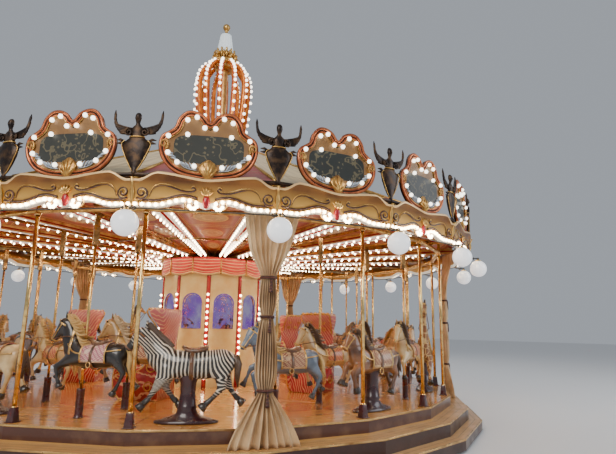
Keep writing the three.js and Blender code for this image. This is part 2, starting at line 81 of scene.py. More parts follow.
soft_light("key_light", (-9, -15, 11), (0, 0, 2.5), 9, 1700, (1.0, 0.94, 0.86))
soft_light("fill_light", (15, -9, 8), (0, 0, 2.5), 10, 900, (0.90, 0.94, 1.0))
soft_light("back_light", (2, 16, 12), (0, 0, 3), 10, 900, (1.0, 0.96, 0.90))


# Ground frame and mast: rolled steel beams bolted to a centre disc and a tube with a bearing seat, sprayed in dark
# paint that is worn and dusty in soft patches.
class Signal:
    """One output of a shader node, on which Python's arithmetic adds Math nodes."""

    def __init__(self, paint, output):
        self.paint = paint
        self.output = output

    def maths(self, operation, *others):
        return self.paint.node("Math", {"operation": operation}, self, *others)

    def __add__(self, other):
        return self.maths("ADD", other)

    def __sub__(self, other):
        return self.maths("SUBTRACT", other)

    def __rsub__(self, other):
        return self.paint.node("Math", {"operation": "SUBTRACT"}, other, self)

    def __mul__(self, other):
        return self.maths("MULTIPLY", other)

    def __truediv__(self, other):
        return self.maths("DIVIDE", other)

    def __gt__(self, other):
        return self.maths("GREATER_THAN", other)

    def __lt__(self, other):
        return self.maths("LESS_THAN", other)

    def __abs__(self):
        return self.maths("ABSOLUTE")

    def repeated(self, length):
        return self.maths("FLOORED_MODULO", length)

    def root(self):
        return self.maths("SQRT")

    __radd__ = __add__
    __rmul__ = __mul__


class Paint:
    """A Principled material whose values and nodes are set by short calls."""

    def __init__(self, name, **values):
        self.material = bpy.data.materials.new(name)
        self.material.use_nodes = True
        self.tree = self.material.node_tree
        self.shader = self.tree.nodes["Principled BSDF"]
        self.set(**values)

    def set(self, **values):
        for name, value in values.items():
            self.feed(self.shader.inputs[name.replace("_", " ")], value)

    def feed(self, socket, value):
        if isinstance(value, Signal):
            self.tree.links.new(value.output, socket)
        elif socket.type == "RGBA" and len(value) == 3:
            socket.default_value = (*value, 1)
        else:
            socket.default_value = value

    def node(self, kind, settings, *inputs, out=0, **named):
        made = self.tree.nodes.new("ShaderNode" + kind)
        for name, value in settings.items():
            if name == "stops":
                for stop, (position, colour) in zip(made.color_ramp.elements, value):
                    stop.position = position
                    stop.color = (*colour, 1)
            else:
                setattr(made, name, value)
        for socket, value in zip(made.inputs, inputs):
            if value is not None:
                self.feed(socket, value)
        for name, value in named.items():
            self.feed(made.inputs[name.replace("_", " ")], value)
        return Signal(self, made.outputs[out])

    def mix(self, factor, first, second):
        empty = [None] * 5
        return self.node("Mix", {"data_type": "RGBA"}, factor, *empty, first, second, out=2)

    def place(self):
        return self.node("TexCoord", {}, out=3)

    def axes(self, source=None):
        source = source or self.place()
        return [self.node("SeparateXYZ", {}, source, out=i) for i in range(3)]

    def noise(self, scale, detail=3, source=None):
        return self.node("TexNoise", {}, Vector=source or self.place(), Scale=scale, Detail=detail)

    def ramp(self, value, low, high, kind="LINEAR"):
        return self.node("MapRange", {"interpolation_type": kind}, value, low, high, 0.0, 1.0)

    def bump(self, height, distance, strength=1.0):
        self.set(Normal=self.node("Bump", {}, Height=height, Distance=distance, Strength=strength))


def worn_paint(name, patches, fresh, worn, grain, rough=None, **values):
    """A finish that goes from fresh to worn in soft patches (noise scale, detail and its limits) over a fine grain
    (scale, detail and height), and is rougher where it is worn (least and added roughness)."""
    paint = Paint(name, **values)
    patch = paint.noise(*patches[:2])
    if patches[2:]:
        patch = paint.ramp(patch, *patches[2:])
    paint.set(Base_Color=paint.mix(patch, fresh, worn))
    if rough:
        paint.set(Roughness=rough[0] + rough[1] * patch)
    paint.bump(paint.noise(*grain[:2]), grain[2])
    return paint


iron = worn_paint(
    "dark_iron", (2.2, 5, 0.35, 0.7), (0.035, 0.036, 0.040), (0.11, 0.10, 0.085), (90, 2, 0.0008), (0.35, 0.35),
    Metallic=0.6,
)


def dress(node, *paints):
    """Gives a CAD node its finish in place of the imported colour."""
    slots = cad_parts[node].data.materials
    slots.clear()
    for paint in paints:
        slots.append(paint.material)


for part in ("base_frame", "centre_mast"):
    dress(part, iron)

# Centre casing: ten painted boards with a red edge and an arched mirror in each, and lamp strips on the corners. The
# mirrors are set in gilt mouldings; their glass is tinted purple, with paler patches of painted reflection for the
# coloured light of the ride.
CASING_SIDES = 10
CASING_RADIUS = 0.965
CASING_TURN = radians(-12)
CASING_APOTHEM = CASING_RADIUS * cos(pi / CASING_SIDES)
DECK_TOP = 0.540
MIRROR_WIDTH = 0.330
MIRROR_LOW = 1.570
MIRROR_SPRING = 2.010


def outward(angle, radius=0.0, height=0.0):
    """A frame at an angle counted from -Y: X outwards, Y anticlockwise round the ring, Z up."""
    return Matrix.Rotation(angle - pi / 2, 4, "Z") @ Matrix.Translation((radius, 0, height))


def around(count, radius=0.0, height=0.0, part=0.0, start=0.0):
    """Frames at equal angles round the ride, shifted by a part of a step."""
    return [outward(start + (i + part) * 2 * pi / count, radius, height) for i in range(count)]


def bevelled(work, offset, segments=2):
    """Rounds every edge of a bmesh."""
    bmesh.ops.bevel(
        work, geom=work.edges[:], offset=offset, segments=segments, profile=0.5, affect="EDGES", material=-1
    )
    return work


def cone(sides, low, high, depth, place, work=None):
    """A capped cone or rod along the Z of its place, added to a bmesh or to one of its own."""
    work = work or bmesh.new()
    bmesh.ops.create_cone(work, cap_ends=True, segments=sides, radius1=low, radius2=high, depth=depth, matrix=place)
    return work


def ball(across, down, radius, place, work=None):
    """A ball with so many faces across and down, added to a bmesh or to one of its own."""
    work = work or bmesh.new()
    bmesh.ops.create_uvsphere(work, u_segments=across, v_segments=down, radius=radius, matrix=place)
    return work


def raised_verts(made):
    """The points that an extrusion made."""
    return [part for part in made["geom"] if isinstance(part, bmesh.types.BMVert)]


def finish_piece(name, work, paints, body, replaces=(), smooth=True):
    """Makes a bmesh an object that rides on a body, in the given finishes."""
    bmesh.ops.recalc_face_normals(work, faces=work.faces)
    mesh = bpy.data.meshes.new(name)
    work.to_mesh(mesh)
    work.free()
    for paint in paints:
        mesh.materials.append(paint.material)
    mesh.polygons.foreach_set("use_smooth", [smooth] * len(mesh.polygons))
    made = bpy.data.objects.new(name, mesh)
    bpy.context.scene.collection.objects.link(made)
    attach(made, body)
    if replaces:
        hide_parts(*replaces)
    return made


def place_copies(work, unit, places, shade=None):
    """Adds a copy of a small bmesh at each place, and lets the unit go."""
    mesh = bpy.data.meshes.new("unit")
    unit.to_mesh(mesh)
    unit.free()
    for place in places:
        before = len(work.verts)
        faces = len(work.faces)
        work.from_mesh(mesh)
        work.verts.ensure_lookup_table()
        bmesh.ops.transform(work, matrix=place, verts=work.verts[before:])
        if shade is not None:
            work.faces.ensure_lookup_table()
            for face in work.faces[faces:]:
                face.material_index = shade
    bpy.data.meshes.remove(mesh)


def bulb_unit(radius, cap=True):
    """A lamp bulb of a few dozen faces, pointing along X, with its dark holder behind it."""
    unit = ball(7, 4, radius, Matrix.Translation((radius * 0.9, 0, 0)))
    if cap:
        glass = len(unit.faces)
        turn = Matrix.Translation((radius * 0.1, 0, 0)) @ Matrix.Rotation(pi / 2, 4, "Y")
        cone(6, radius * 0.7, radius * 0.55, radius * 0.5, turn, unit)
        unit.faces.ensure_lookup_table()
        for face in unit.faces[glass:]:
            face.material_index = 1
    return unit


cream = Paint("cream_board")
x, y, z = cream.axes()
turn = y.maths("ARCTAN2", x) + (pi / 2 - CASING_TURN)
side = (turn + 2 * pi).repeated(2 * pi / CASING_SIDES) / (2 * pi / CASING_SIDES) - 0.5
edge = abs(side) > 0.435
aged = cream.ramp(cream.noise(6, 5), 0.35, 0.75)
paper = cream.mix(aged, (1.0, 0.80, 0.36), (0.93, 0.64, 0.22))
cream.set(Base_Color=cream.mix(edge, paper, (0.42, 0.02, 0.02)))
cream.set(Roughness=0.28 + 0.2 * aged, Coat_Weight=0.3)
cream.bump(cream.noise(40, 2), 0.001)
dress("centre_casing", cream)

gilt = worn_paint(
    "gilt_moulding", (14, 5, 0.3, 0.75), (0.95, 0.62, 0.20), (0.42, 0.19, 0.05), (60, 3, 0.001), (0.22, 0.3),
    Metallic=1.0
)
# Mirror glass: a purple tint, with paler patches that are painted reflection of the ride's coloured light.
mirror_painted_reflection = worn_paint(
    "mirror_glass_painted_reflection", (3.5, 2, 0.35, 0.65), (0.46, 0.17, 0.82), (0.70, 0.58, 0.86), (9, 1, 0.004), Metallic=1.0,
    Roughness=0.06,
)
lamp_white = Paint("lamp_glass", Base_Color=(1.0, 0.93, 0.80), Roughness=0.25)
lamp_white.set(Emission_Color=(1.0, 0.80, 0.52), Emission_Strength=20.0)
holder = Paint("lamp_holder", Base_Color=(0.55, 0.30, 0.08), Metallic=0.9, Roughness=0.35)

mirrors = bmesh.new()
arch = bmesh.new()
steps = 14
points = [(MIRROR_WIDTH / 2, MIRROR_LOW)]
for i in range(steps + 1):
    bend = pi * i / steps
    points.append((MIRROR_WIDTH / 2 * cos(bend), MIRROR_SPRING + MIRROR_WIDTH / 2 * sin(bend)))
points.append((-MIRROR_WIDTH / 2, MIRROR_LOW))
pane = arch.faces.new([arch.verts.new((0, across, up)) for across, up in points])
pane.material_index = 1
frame_band = bmesh.ops.extrude_face_region(arch, geom=[pane])
middle = Vector((0, 0, (MIRROR_LOW + MIRROR_SPRING) / 2))
grow = Matrix.Translation(middle) @ Matrix.Diagonal((1, 1.16, 1.06, 1)) @ Matrix.Translation(-middle)
bmesh.ops.transform(arch, matrix=grow, verts=raised_verts(frame_band))
bmesh.ops.delete(arch, geom=[f for f in frame_band["geom"] if isinstance(f, bmesh.types.BMFace)], context="FACES_ONLY")
rim = [f for f in arch.faces if f is not pane]
raised = bmesh.ops.extrude_face_region(arch, geom=rim)
bmesh.ops.translate(arch, vec=(0.022, 0, 0), verts=raised_verts(raised))
faces_in = around(CASING_SIDES, CASING_APOTHEM - 0.010, part=0.5, start=CASING_TURN)
place_copies(mirrors, arch, faces_in)
finish_piece("casing_mirrors", mirrors, [gilt, mirror_painted_reflection], "base", smooth=False)

strips = bmesh.new()
post = bmesh.new()
bmesh.ops.create_cube(
    post, size=1, matrix=Matrix.Translation((0.004, 0, 1.53)) @ Matrix.Diagonal((0.024, 0.050, 1.94, 1))
)
bevelled(post, 0.006)
for face in post.faces:
    face.material_index = 2
corners = around(CASING_SIDES, CASING_RADIUS, start=CASING_TURN)
place_copies(strips, post, corners)
LAMP_PITCH = 0.105
lamps_up = [Matrix.Translation((0.016, 0, 0.70 + i * LAMP_PITCH)) for i in range(15)]
place_copies(strips, bulb_unit(0.021), [corner @ up for corner in corners for up in lamps_up])
red_gloss = worn_paint(
    "red_gloss", (8, 4, 0.3, 0.8), (0.55, 0.015, 0.02), (0.33, 0.01, 0.015), (70, 2, 0.0006), Roughness=0.25,
    Coat_Weight=0.4,
)
finish_piece("casing_lamp_strips", strips, [lamp_white, holder, red_gloss], "base")

# Casing valance: a ring of red swags, pleated in arcs and edged with a gilt scalloped braid, fixed round the
# head of the casing with a gilt cord and drop between swags.
SWAGS = 12
SWAG_STEPS = 14
VALANCE_TOP = 2.860
PLEATS_DOWN = 6
SWAG_ROWS = 24


def loft(work, stations, sides, ring=False, ends=True, shape=None):
    """Faces between circles given as radius and frame, closed as a ring or at its ends. A shape gives the new place of
    point i of a circle."""
    loops = []
    for row, (radius, place) in enumerate(stations):
        made = bmesh.ops.create_circle(work, segments=sides, radius=radius, matrix=place)
        loops.append(list(dict.fromkeys(edge for vert in made["verts"] for edge in vert.link_edges)))
        if shape:
            for i, vert in enumerate(made["verts"]):
                vert.co = shape(row, i, vert.co)
    for first, second in zip(loops, loops[1:] + (loops[:1] if ring else [])):
        bmesh.ops.bridge_loops(work, edges=first + second)
    if ends and not ring:
        for loop in (loops[0], loops[-1]):
            bmesh.ops.edgeloop_fill(work, edges=loop)
    return work


def swag_point(row, i, at):
    """A point of the pleated swags, from the head of the valance down."""
    down = row / SWAG_ROWS
    angle = 2 * pi * i / (SWAGS * SWAG_STEPS)
    sag = sin(pi * (i % SWAG_STEPS) / SWAG_STEPS)
    pleat = 0.010 * abs(sin(pi * down * PLEATS_DOWN)) * (0.35 + 0.65 * sag)
    radius = 0.984 + pleat + 0.010 * sag * sin(pi * down) + 0.014 * down
    return radius * sin(angle), -radius * cos(angle), VALANCE_TOP - down * (0.285 + 0.057 * sag)


circles = [(1, Matrix())] * (SWAG_ROWS + 1)
swag_ring = loft(bmesh.new(), circles, SWAGS * SWAG_STEPS, ends=False, shape=swag_point)
bmesh.ops.recalc_face_normals(swag_ring, faces=swag_ring.faces)
bmesh.ops.solidify(swag_ring, geom=swag_ring.faces[:], thickness=0.010)
cord = cone(8, 0.014, 0.010, 0.270, Matrix.Translation((0, 0, 2.718)))
ball(12, 8, 0.021, Matrix.Translation((0, 0, 2.566)), cord)
place_copies(swag_ring, cord, around(SWAGS, 1.004), 1)
valance_red = Paint("valance_red", Roughness=0.45, Sheen_Weight=0.3)
x, y, z = valance_red.axes()
turn = y.maths("ARCTAN2", x) + pi / 2
part = (turn + 2 * pi).repeated(2 * pi / SWAGS) / (2 * pi / SWAGS)
sag = (part * pi).maths("SINE")
depth = (VALANCE_TOP - z) / (0.285 + 0.057 * sag)
braid = depth > 0.90
line = (depth.repeated(1 / PLEATS_DOWN) * PLEATS_DOWN) > 0.78
faded = valance_red.ramp(valance_red.noise(7, 4), 0.35, 0.7)
shade = valance_red.mix(line, valance_red.mix(faded, (0.82, 0.022, 0.020), (0.58, 0.012, 0.014)), (0.98, 0.58, 0.28))
valance_red.set(Base_Color=valance_red.mix(braid, shade, (0.96, 0.66, 0.28)))
valance_red.bump(valance_red.noise(130, 2), 0.001)
finish_piece("casing_swags", swag_ring, [valance_red, gilt], "base", replaces=["casing_valance"])

# Platform: varnished deck boards laid across the radial stringers, sector by sector, over dark painted ironwork, with
# two boarded steps under it. Every tread has a worn nosing, every riser a dark lacquer.
SECTORS = 20
SECTOR = 2 * pi / SECTORS


def round_turn(paint):
    """The angle round the ride counted from -Y, the radius and the height, as shader signals."""
    x, y, z = paint.axes()
    turn = y.maths("ARCTAN2", x) + 2.5 * pi
    return turn, (x * x + y * y).root(), z


def board_paint(name, light, dark, pitch, coat):
    """Boards that run across each sector, with their own tone, grain, dark joints and varnish."""
    paint = Paint(name, Coat_Weight=coat, Coat_Roughness=0.10)
    turn, radius, z = round_turn(paint)
    local = turn.repeated(SECTOR) - SECTOR / 2
    run = radius * local.maths("COSINE")
    along = radius * local.maths("SINE")
    board = (run / pitch).maths("FLOOR")
    sector = (turn / SECTOR).maths("FLOOR")
    tone = paint.node(
        "TexWhiteNoise", {"noise_dimensions": "2D"}, Vector=paint.node("CombineXYZ", {}, board, sector, 0.0)
    )
    where = paint.node("CombineXYZ", {}, run * 38, along * 1.6 + board * 3.7, sector + z * 30)
    grain = paint.noise(1.0, 5, where)
    across = (run / pitch).repeated(1.0)
    joint = (abs(across - 0.5) > 0.475) + (abs(local) > SECTOR / 2 - 0.004 / 3)
    wear = paint.ramp(paint.noise(1.3, 4), 0.4, 0.75)
    wood = paint.mix(0.65 * grain + 0.35 * tone, light, dark)
    paint.set(Base_Color=paint.mix(joint, wood, (0.05, 0.018, 0.006)))
    paint.set(Roughness=0.16 + 0.20 * wear)
    paint.bump(grain * 0.2 - 1.0 * joint, 0.002)
    return paint


deck_boards = board_paint("deck_boards", (0.95, 0.50, 0.13), (0.62, 0.24, 0.04), 0.092, 0.7)
dress("platform_deck", deck_boards)
dress("platform_joists", iron)

maroon_board = Paint("maroon_board", Roughness=0.32, Coat_Weight=0.3)
turn, radius, z = round_turn(maroon_board)
scuffs = maroon_board.ramp(maroon_board.noise(5, 5), 0.45, 0.75)
rail = (z > 0.515) + (z < 0.380)
panel = maroon_board.mix(scuffs, (0.085, 0.030, 0.018), (0.17, 0.085, 0.045))
maroon_board.set(Base_Color=maroon_board.mix(rail, panel, (0.55, 0.30, 0.09)))
maroon_board.bump(rail, 0.003)
dress("platform_fascia", maroon_board)

for part, top, inner in (("upper_step", 0.360, 4.540), ("lower_step", 0.180, 4.840)):
    tread = Paint(part + "_boards", Coat_Weight=0.25, Coat_Roughness=0.2)
    turn, radius, z = round_turn(tread)
    local = turn.repeated(SECTOR) - SECTOR / 2
    run = radius * local.maths("COSINE") - inner * cos(SECTOR / 2)
    grain = tread.noise(1.0, 5, tread.node("CombineXYZ", {}, run * 42, radius * local * 2, z * 40))
    line = abs((run / 0.098).repeated(1.0) - 0.5) > 0.47
    wood = tread.mix(grain, (0.80, 0.47, 0.17), (0.42, 0.19, 0.05))
    trodden = tread.ramp(tread.noise(2.6, 4), 0.45, 0.7)
    face = tread.mix(trodden * 0.5, wood, (0.40, 0.28, 0.18))
    lacquer = tread.mix(tread.noise(14, 4), (0.060, 0.022, 0.014), (0.028, 0.012, 0.010))
    under = z < top - 0.0255
    tread.set(Base_Color=tread.mix(under, tread.mix(line, face, (0.06, 0.03, 0.015)), lacquer))
    tread.set(Roughness=0.32 + 0.25 * trodden)
    tread.bump(grain * 0.3 - 1.0 * line, 0.002)
    dress(part, tread)

trims = bmesh.new()


def sector_strip(work, radius, low, high, deep, shade=0):
    """A straight strip along each side of the twenty-sided ring, at a corner radius, between two heights."""
    flat = radius * cos(SECTOR / 2)
    half = radius * sin(SECTOR / 2)
    for i in range(SECTORS):
        unit = bmesh.new()
        size = Matrix.Diagonal((deep, 2 * half, high - low, 1))
        place = outward((i + 0.5) * SECTOR, flat - deep / 2, (low + high) / 2) @ size
        bmesh.ops.create_cube(unit, size=1, matrix=place)
        small = min(deep, high - low) * 0.3
        bevelled(unit, small)
        place_copies(work, unit, HERE, shade)


HERE = [Matrix.Identity(4)]
for radius, top in ((4.5730, 0.5400), (4.8440, 0.3608), (5.0540, 0.1808)):
    sector_strip(trims, radius, top - 0.021, top + 0.0006, 0.010)
nosing_brass = worn_paint(
    "nosing_brass", (5, 4, 0.4, 0.7), (0.83, 0.55, 0.22), (0.36, 0.20, 0.08), (80, 2, 0.0008), (0.25, 0.3), Metallic=1.0
)
finish_piece("step_nosings", trims, [nosing_brass], "turntable", smooth=False)

# Floor sleeves: maroon tubes bolted to the deck, into which the lower ends of the horses' poles slide, each with a
# flange of bolts and a brass collar.
OUTER_ROW = 3.990
MIDDLE_ROW = 3.280
JUMPERS = [
    ("leading", -1.63, OUTER_ROW, 0.030), ("following", 0.24, OUTER_ROW, -0.030),
    ("inner", -1.46, MIDDLE_ROW, 0.030), ("middle", 1.21, MIDDLE_ROW, -0.030),
]
BAYS = 5
BAY = 4 * SECTOR
SLEEVE_TOP = DECK_TOP + 0.3305


def turned(profile, sides, closed=True):
    """A profile of radius and height pairs spun round the upright axis."""
    unit = bmesh.new()
    points = [unit.verts.new((radius, 0, height)) for radius, height in profile]
    edges = [unit.edges.new(pair) for pair in zip(points, points[1:] + (points[:1] if closed else []))]
    bmesh.ops.spin(
        unit, geom=points + edges, cent=(0, 0, 0), axis=(0, 0, 1), angle=2 * pi, steps=sides, use_merge=True
    )
    bmesh.ops.remove_doubles(unit, verts=unit.verts, dist=1e-5)
    return unit


sleeves = bmesh.new()
feet = [outward(bay * BAY + at * SECTOR, row) for name, at, row, rest in JUMPERS for bay in range(BAYS)]
tube = turned([
    (0.0235, DECK_TOP + 0.0006), (0.058, DECK_TOP + 0.0006), (0.058, DECK_TOP + 0.008), (0.0505, DECK_TOP + 0.013),
    (0.0472, DECK_TOP + 0.040), (0.0465, SLEEVE_TOP - 0.03), (0.0500, SLEEVE_TOP - 0.024), (0.0500, SLEEVE_TOP - 0.006),
    (0.045, SLEEVE_TOP), (0.0235, SLEEVE_TOP),
], 24)
place_copies(sleeves, tube, feet, 0)
bolt = bmesh.new()
for i in range(6):
    spot = Matrix.Rotation(i * pi / 3, 4, "Z") @ Matrix.Translation((0.0535, 0, DECK_TOP + 0.010))
    cone(6, 0.004, 0.004, 0.006, spot, bolt)
place_copies(sleeves, bolt, feet, 1)
maroon_tube = worn_paint(
    "maroon_tube", (11, 4, 0.4, 0.75), (0.070, 0.009, 0.010), (0.024, 0.006, 0.007), (60, 2, 0.0006), (0.24, 0.25),
    Coat_Weight=0.6,
)
finish_piece("pole_sleeves", sleeves, [maroon_tube, nosing_brass], "turntable")

# Drop rods: spiral-polished brass tubes that hang the platform from the sweeps, standing in turned maroon sockets that
# are bolted to the deck, and clamped in a gilt ring beam below the ceiling.
rods = bmesh.new()
ROD_CIRCLE = 4.450
SWEEP_SLOPE = 0.0648


def sweep_low(radius):
    """Height of the underside of the sweeps."""
    return 2.890 + (radius - 1.0) * SWEEP_SLOPE


ROD_TOP = sweep_low(ROD_CIRCLE - 0.025) - 0.0003
corner_spots = around(SECTORS, ROD_CIRCLE)
shaft = turned([(0.0, 0.66), (0.025, 0.66), (0.025, ROD_TOP), (0.0, ROD_TOP)], 20, closed=False)
place_copies(rods, shaft, corner_spots, 0)
socket_place = Matrix.Translation((0, 0, DECK_TOP + 0.0003 + 0.0798)) @ Matrix.Rotation(pi / 4, 4, "Z")
place_copies(rods, bevelled(cone(4, 0.0705, 0.049, 0.1595, socket_place), 0.008, 3), corner_spots, 1)
collar = turned([(0.025, 0.6985), (0.036, 0.6985), (0.036, 0.704), (0.030, 0.712), (0.025, 0.714)], 20)
place_copies(rods, collar, corner_spots, 0)
clamp = turned([(0.025, 2.905), (0.040, 2.905), (0.040, 2.9295), (0.025, 2.9295)], 20)
place_copies(rods, clamp, corner_spots, 0)
flange = bmesh.new()
bmesh.ops.create_cube(
    flange, size=1, matrix=Matrix.Translation((0, 0, DECK_TOP + 0.0055)) @ Matrix.Diagonal((0.124, 0.124, 0.010, 1))
)
bevelled(flange, 0.003)
place_copies(rods, flange, corner_spots, 1)
sector_strip(rods, ROD_CIRCLE + 0.030, 2.930, 2.990, 0.060, shade=2)
brass = Paint("rod_brass", Metallic=1.0)
x, y, z = brass.axes()
hand = brass.ramp(z, 2.1, 1.2) * brass.ramp(z, 0.8, 1.2)
spots = brass.ramp(brass.noise(16, 5), 0.42, 0.75)
brass.set(Base_Color=brass.mix(spots, (0.97, 0.69, 0.28), (0.60, 0.33, 0.10)))
brass.set(Roughness=0.12 + 0.20 * spots + 0.05 * hand)
brass.bump(brass.noise(40, 2), 0.0005)
finish_piece("brass_rods", rods, [brass, maroon_tube, gilt], "turntable", replaces=["drop_rods"])

# Sweeps and ceiling: twenty gilt timber sweeps under red ceiling panels lined in gold, and below each sweep a tapered
# white lamp board with a red spine, all its edges set with small bulbs. The white board glows faintly, a painted glow
# for the light its bulbs throw on it.
sweep_gilt = Paint("sweep_gilt", Metallic=0.7, Roughness=0.34)
turn, radius, z = round_turn(sweep_gilt)
lines = (abs(((z - radius * SWEEP_SLOPE) / 0.1).repeated(1.0) - 0.752) < 0.12) * (radius > 0.4)
aged = sweep_gilt.ramp(sweep_gilt.noise(9, 5), 0.35, 0.7)
sweep_gilt.set(Base_Color=sweep_gilt.mix(
    lines, sweep_gilt.mix(aged, (0.92, 0.58, 0.18), (0.48, 0.22, 0.06)), (0.40, 0.03, 0.03)
))
sweep_gilt.bump(lines * 1.0, 0.002)
dress("sweep_frame", sweep_gilt)

crank_bronze = worn_paint(
    "crank_bronze", (10, 4, 0.4, 0.7), (0.56, 0.36, 0.15), (0.15, 0.085, 0.040), (90, 2, 0.0005), (0.22, 0.3),
    Metallic=1.0
)
dress("crank_shafts", crank_bronze)

panels = Paint("ceiling_panels", Roughness=0.36, Coat_Weight=0.3)
turn, radius, z = round_turn(panels)
local = abs(turn.repeated(SECTOR) - SECTOR / 2)
side_gap = (SECTOR / 2 - local) * radius
wide = radius * (SECTOR / 2)
ring_part = (radius / 0.92).repeated(1.0)
ring_gap = (0.5 - abs(ring_part - 0.5)) * 0.92
inset = (side_gap - 0.045).maths("MINIMUM", ring_gap)
border = (abs(inset - 0.035) < 0.008) + (abs(inset - 0.060) < 0.004)
along = (ring_part - 0.5) * 0.92
across = local * radius
ellipse = ((along * along) / 0.075 + (across * across) / (wide * wide * 0.30)).root()
rim = abs(ellipse - 0.86) < 0.05
petals = abs((ellipse * 2.1).repeated(1.0) - 0.5) * 2
leaf = (panels.noise(26, 3) + 0.35 * petals) > 0.72
cloudy = panels.ramp(panels.noise(2.5, 5), 0.35, 0.7)
ground_red = panels.mix(cloudy, (0.52, 0.075, 0.040), (0.34, 0.036, 0.024))
field = panels.mix(ellipse < 0.84, ground_red, panels.mix(cloudy, (0.56, 0.32, 0.13), (0.70, 0.50, 0.26)))
flowered = panels.mix((ellipse < 0.70) * leaf, field, (0.80, 0.58, 0.26))
panels.set(Base_Color=panels.mix(border + rim, flowered, (0.85, 0.50, 0.13)))
panels.bump(border + rim, 0.004)
dress("ceiling", panels)

lamp_boards = bmesh.new()
board = bmesh.new()
START = 1.08
END = 4.30
corners = []
for radius in (START, END):
    for side in (-1, 1):
        corners.append((radius, side * (0.030 + 0.028 * radius)))
outline = [corners[0], corners[2], corners[3], corners[1]]
base = board.faces.new([board.verts.new((x, y, sweep_low(x) - 0.0006)) for x, y in outline])
lift = bmesh.ops.extrude_face_region(board, geom=[base])
bmesh.ops.translate(board, vec=(0, 0, -0.016), verts=raised_verts(lift))
bevelled(board, 0.003)
slopes = around(SECTORS)
place_copies(lamp_boards, board, slopes, 2)
spine = bmesh.new()
tilt = Matrix.Rotation(-atan2(SWEEP_SLOPE, 1), 4, "Y")
middle = (START + END) / 2
size = Matrix.Diagonal((END - START - 0.10, 0.034, 0.012, 1))
bmesh.ops.create_cube(spine, size=1, matrix=Matrix.Translation((middle, 0, sweep_low(middle) - 0.022)) @ tilt @ size)
place_copies(lamp_boards, spine, slopes, 3)
down = Matrix.Rotation(pi / 2, 4, "Y")
spots = []
SMALL_BULBS = 22
for k in range(SMALL_BULBS):
    radius = START + 0.05 + (END - START - 0.10) * k / (SMALL_BULBS - 1)
    half = 0.030 + 0.028 * radius - 0.020
    for side in (-1, 1):
        spots.append(Matrix.Translation((radius, side * half, sweep_low(radius) - 0.0166)) @ down)
place_copies(lamp_boards, bulb_unit(0.017, cap=False), [slope @ spot for slope in slopes for spot in spots], 0)
# The white board is no lamp: its faint emission is a painted glow for the light of the bulbs set on it.
board_white_painted_glow = worn_paint(
    "lamp_board_white_painted_glow", (5, 4), (0.95, 0.93, 0.86), (0.80, 0.72, 0.56), (30, 2, 0.0006), Roughness=0.30,
    Coat_Weight=0.3, Emission_Color=(1.0, 0.93, 0.80), Emission_Strength=0.5,
)
finish_piece("sweep_lamp_boards", lamp_boards, [lamp_white, holder, board_white_painted_glow, red_gloss], "turntable")

# Rounding boards: a coved cornice in antique gold, with a lit wavy band that rises in two arches on each side, scroll
# mouldings over it, volutes at the corners and a red drop in the middle. Its gold is painted dark brown at the top, a
# painted shade, and bright gold lower down, a painted light from the lamps below.
BOARD_LOW = 2.870
BOARD_TOP = 3.200
FLAT = cos(SECTOR / 2)
WAVE_STEPS = 24


def smooth_line(points, steps, closed=False):
    """Points of a smooth curve through the given ones."""
    count = len(points)
    line = []
    for i in range(count if closed else count - 1):
        near = [
            Vector(points[(i + k) % count] if closed else points[min(max(i + k, 0), count - 1)]) for k in (-1, 0, 1, 2)
        ]
        for step in range(steps):
            t = step / steps
            before, start, end, after = near
            line.append(0.5 * (
                2 * start + (end - before) * t + (2 * before - 5 * start + 4 * end - after) * t ** 2
                + (3 * start - before - 3 * end + after) * t ** 3
            ))
    if not closed:
        line.append(Vector(points[-1]))
    return line


def moulding(points, size, sides=5, closed=False):
    """A rod that follows a curve, with one thickness or one for each point."""
    count = len(points)
    stations = []
    for i, point in enumerate(points):
        ahead = points[(i + 1) % count] if closed else points[min(i + 1, count - 1)]
        behind = points[i - 1] if closed or i else points[0]
        turn = (Vector(ahead) - Vector(behind)).to_track_quat("Z", "X").to_matrix().to_4x4()
        thick = size if isinstance(size, float) else size[i * (len(size) - 1) // (count - 1)]
        stations.append((thick, Matrix.Translation(point) @ turn))
    unit = loft(bmesh.new(), stations, sides, ring=closed)
    bmesh.ops.recalc_face_normals(unit, faces=unit.faces)
    return unit


def board_out(height):
    """How far the front of the cornice stands out at its corners at a height."""
    rise = min(max((height - BOARD_LOW) / (BOARD_TOP - BOARD_LOW), 0), 1)
    return 4.950 + 0.070 * rise ** 1.8


def eased(value, low, high):
    """A smooth step from 0 to 1 between two limits."""
    share = min(max((value - low) / (high - low), 0), 1)
    return share * share * (3 - 2 * share)


def low_wave(part):
    """The lit lower edge rises in an arch on either side of the middle."""
    return sin(pi * eased(min(part, 1 - part), 0.14, 0.56))


def top_wave(part):
    """The top edge dips at the corners, peaks beside them and sags to the middle."""
    near = min(part, 1 - part)
    return eased(near, 0.04, 0.17) * (1 - 0.65 * eased(near, 0.15, 0.52))


def on_board(part, height, proud=0.0):
    """A point on the front of one side of the cornice, in the frame of the middle of that side."""
    corner = board_out(height)
    return Vector((corner * FLAT + proud, (part - 0.5) * 2 * corner * sin(SECTOR / 2), height))


CORNICE_PROFILE = [
    (-1, 0, 0), (0, -0.004, 0), (0, 0, 0), (0.06, 0.004, 0), (0.10, 0, 0), (0.25, 0, 0), (0.30, 0, 0), (0.45, 0, 0),
    (0.60, 0, 0), (0.75, 0, 0.2), (0.88, 0, 0.6), (0.905, 0.012, 0.7), (0.95, 0.016, 0.9), (0.985, 0.010, 1), (1, 0, 1),
    (1, -0.012, 1), (1, -0.018, 0.9), (1, -0.019, 0), (2, 0, 0),
]
BOARD_BACK = 4.892


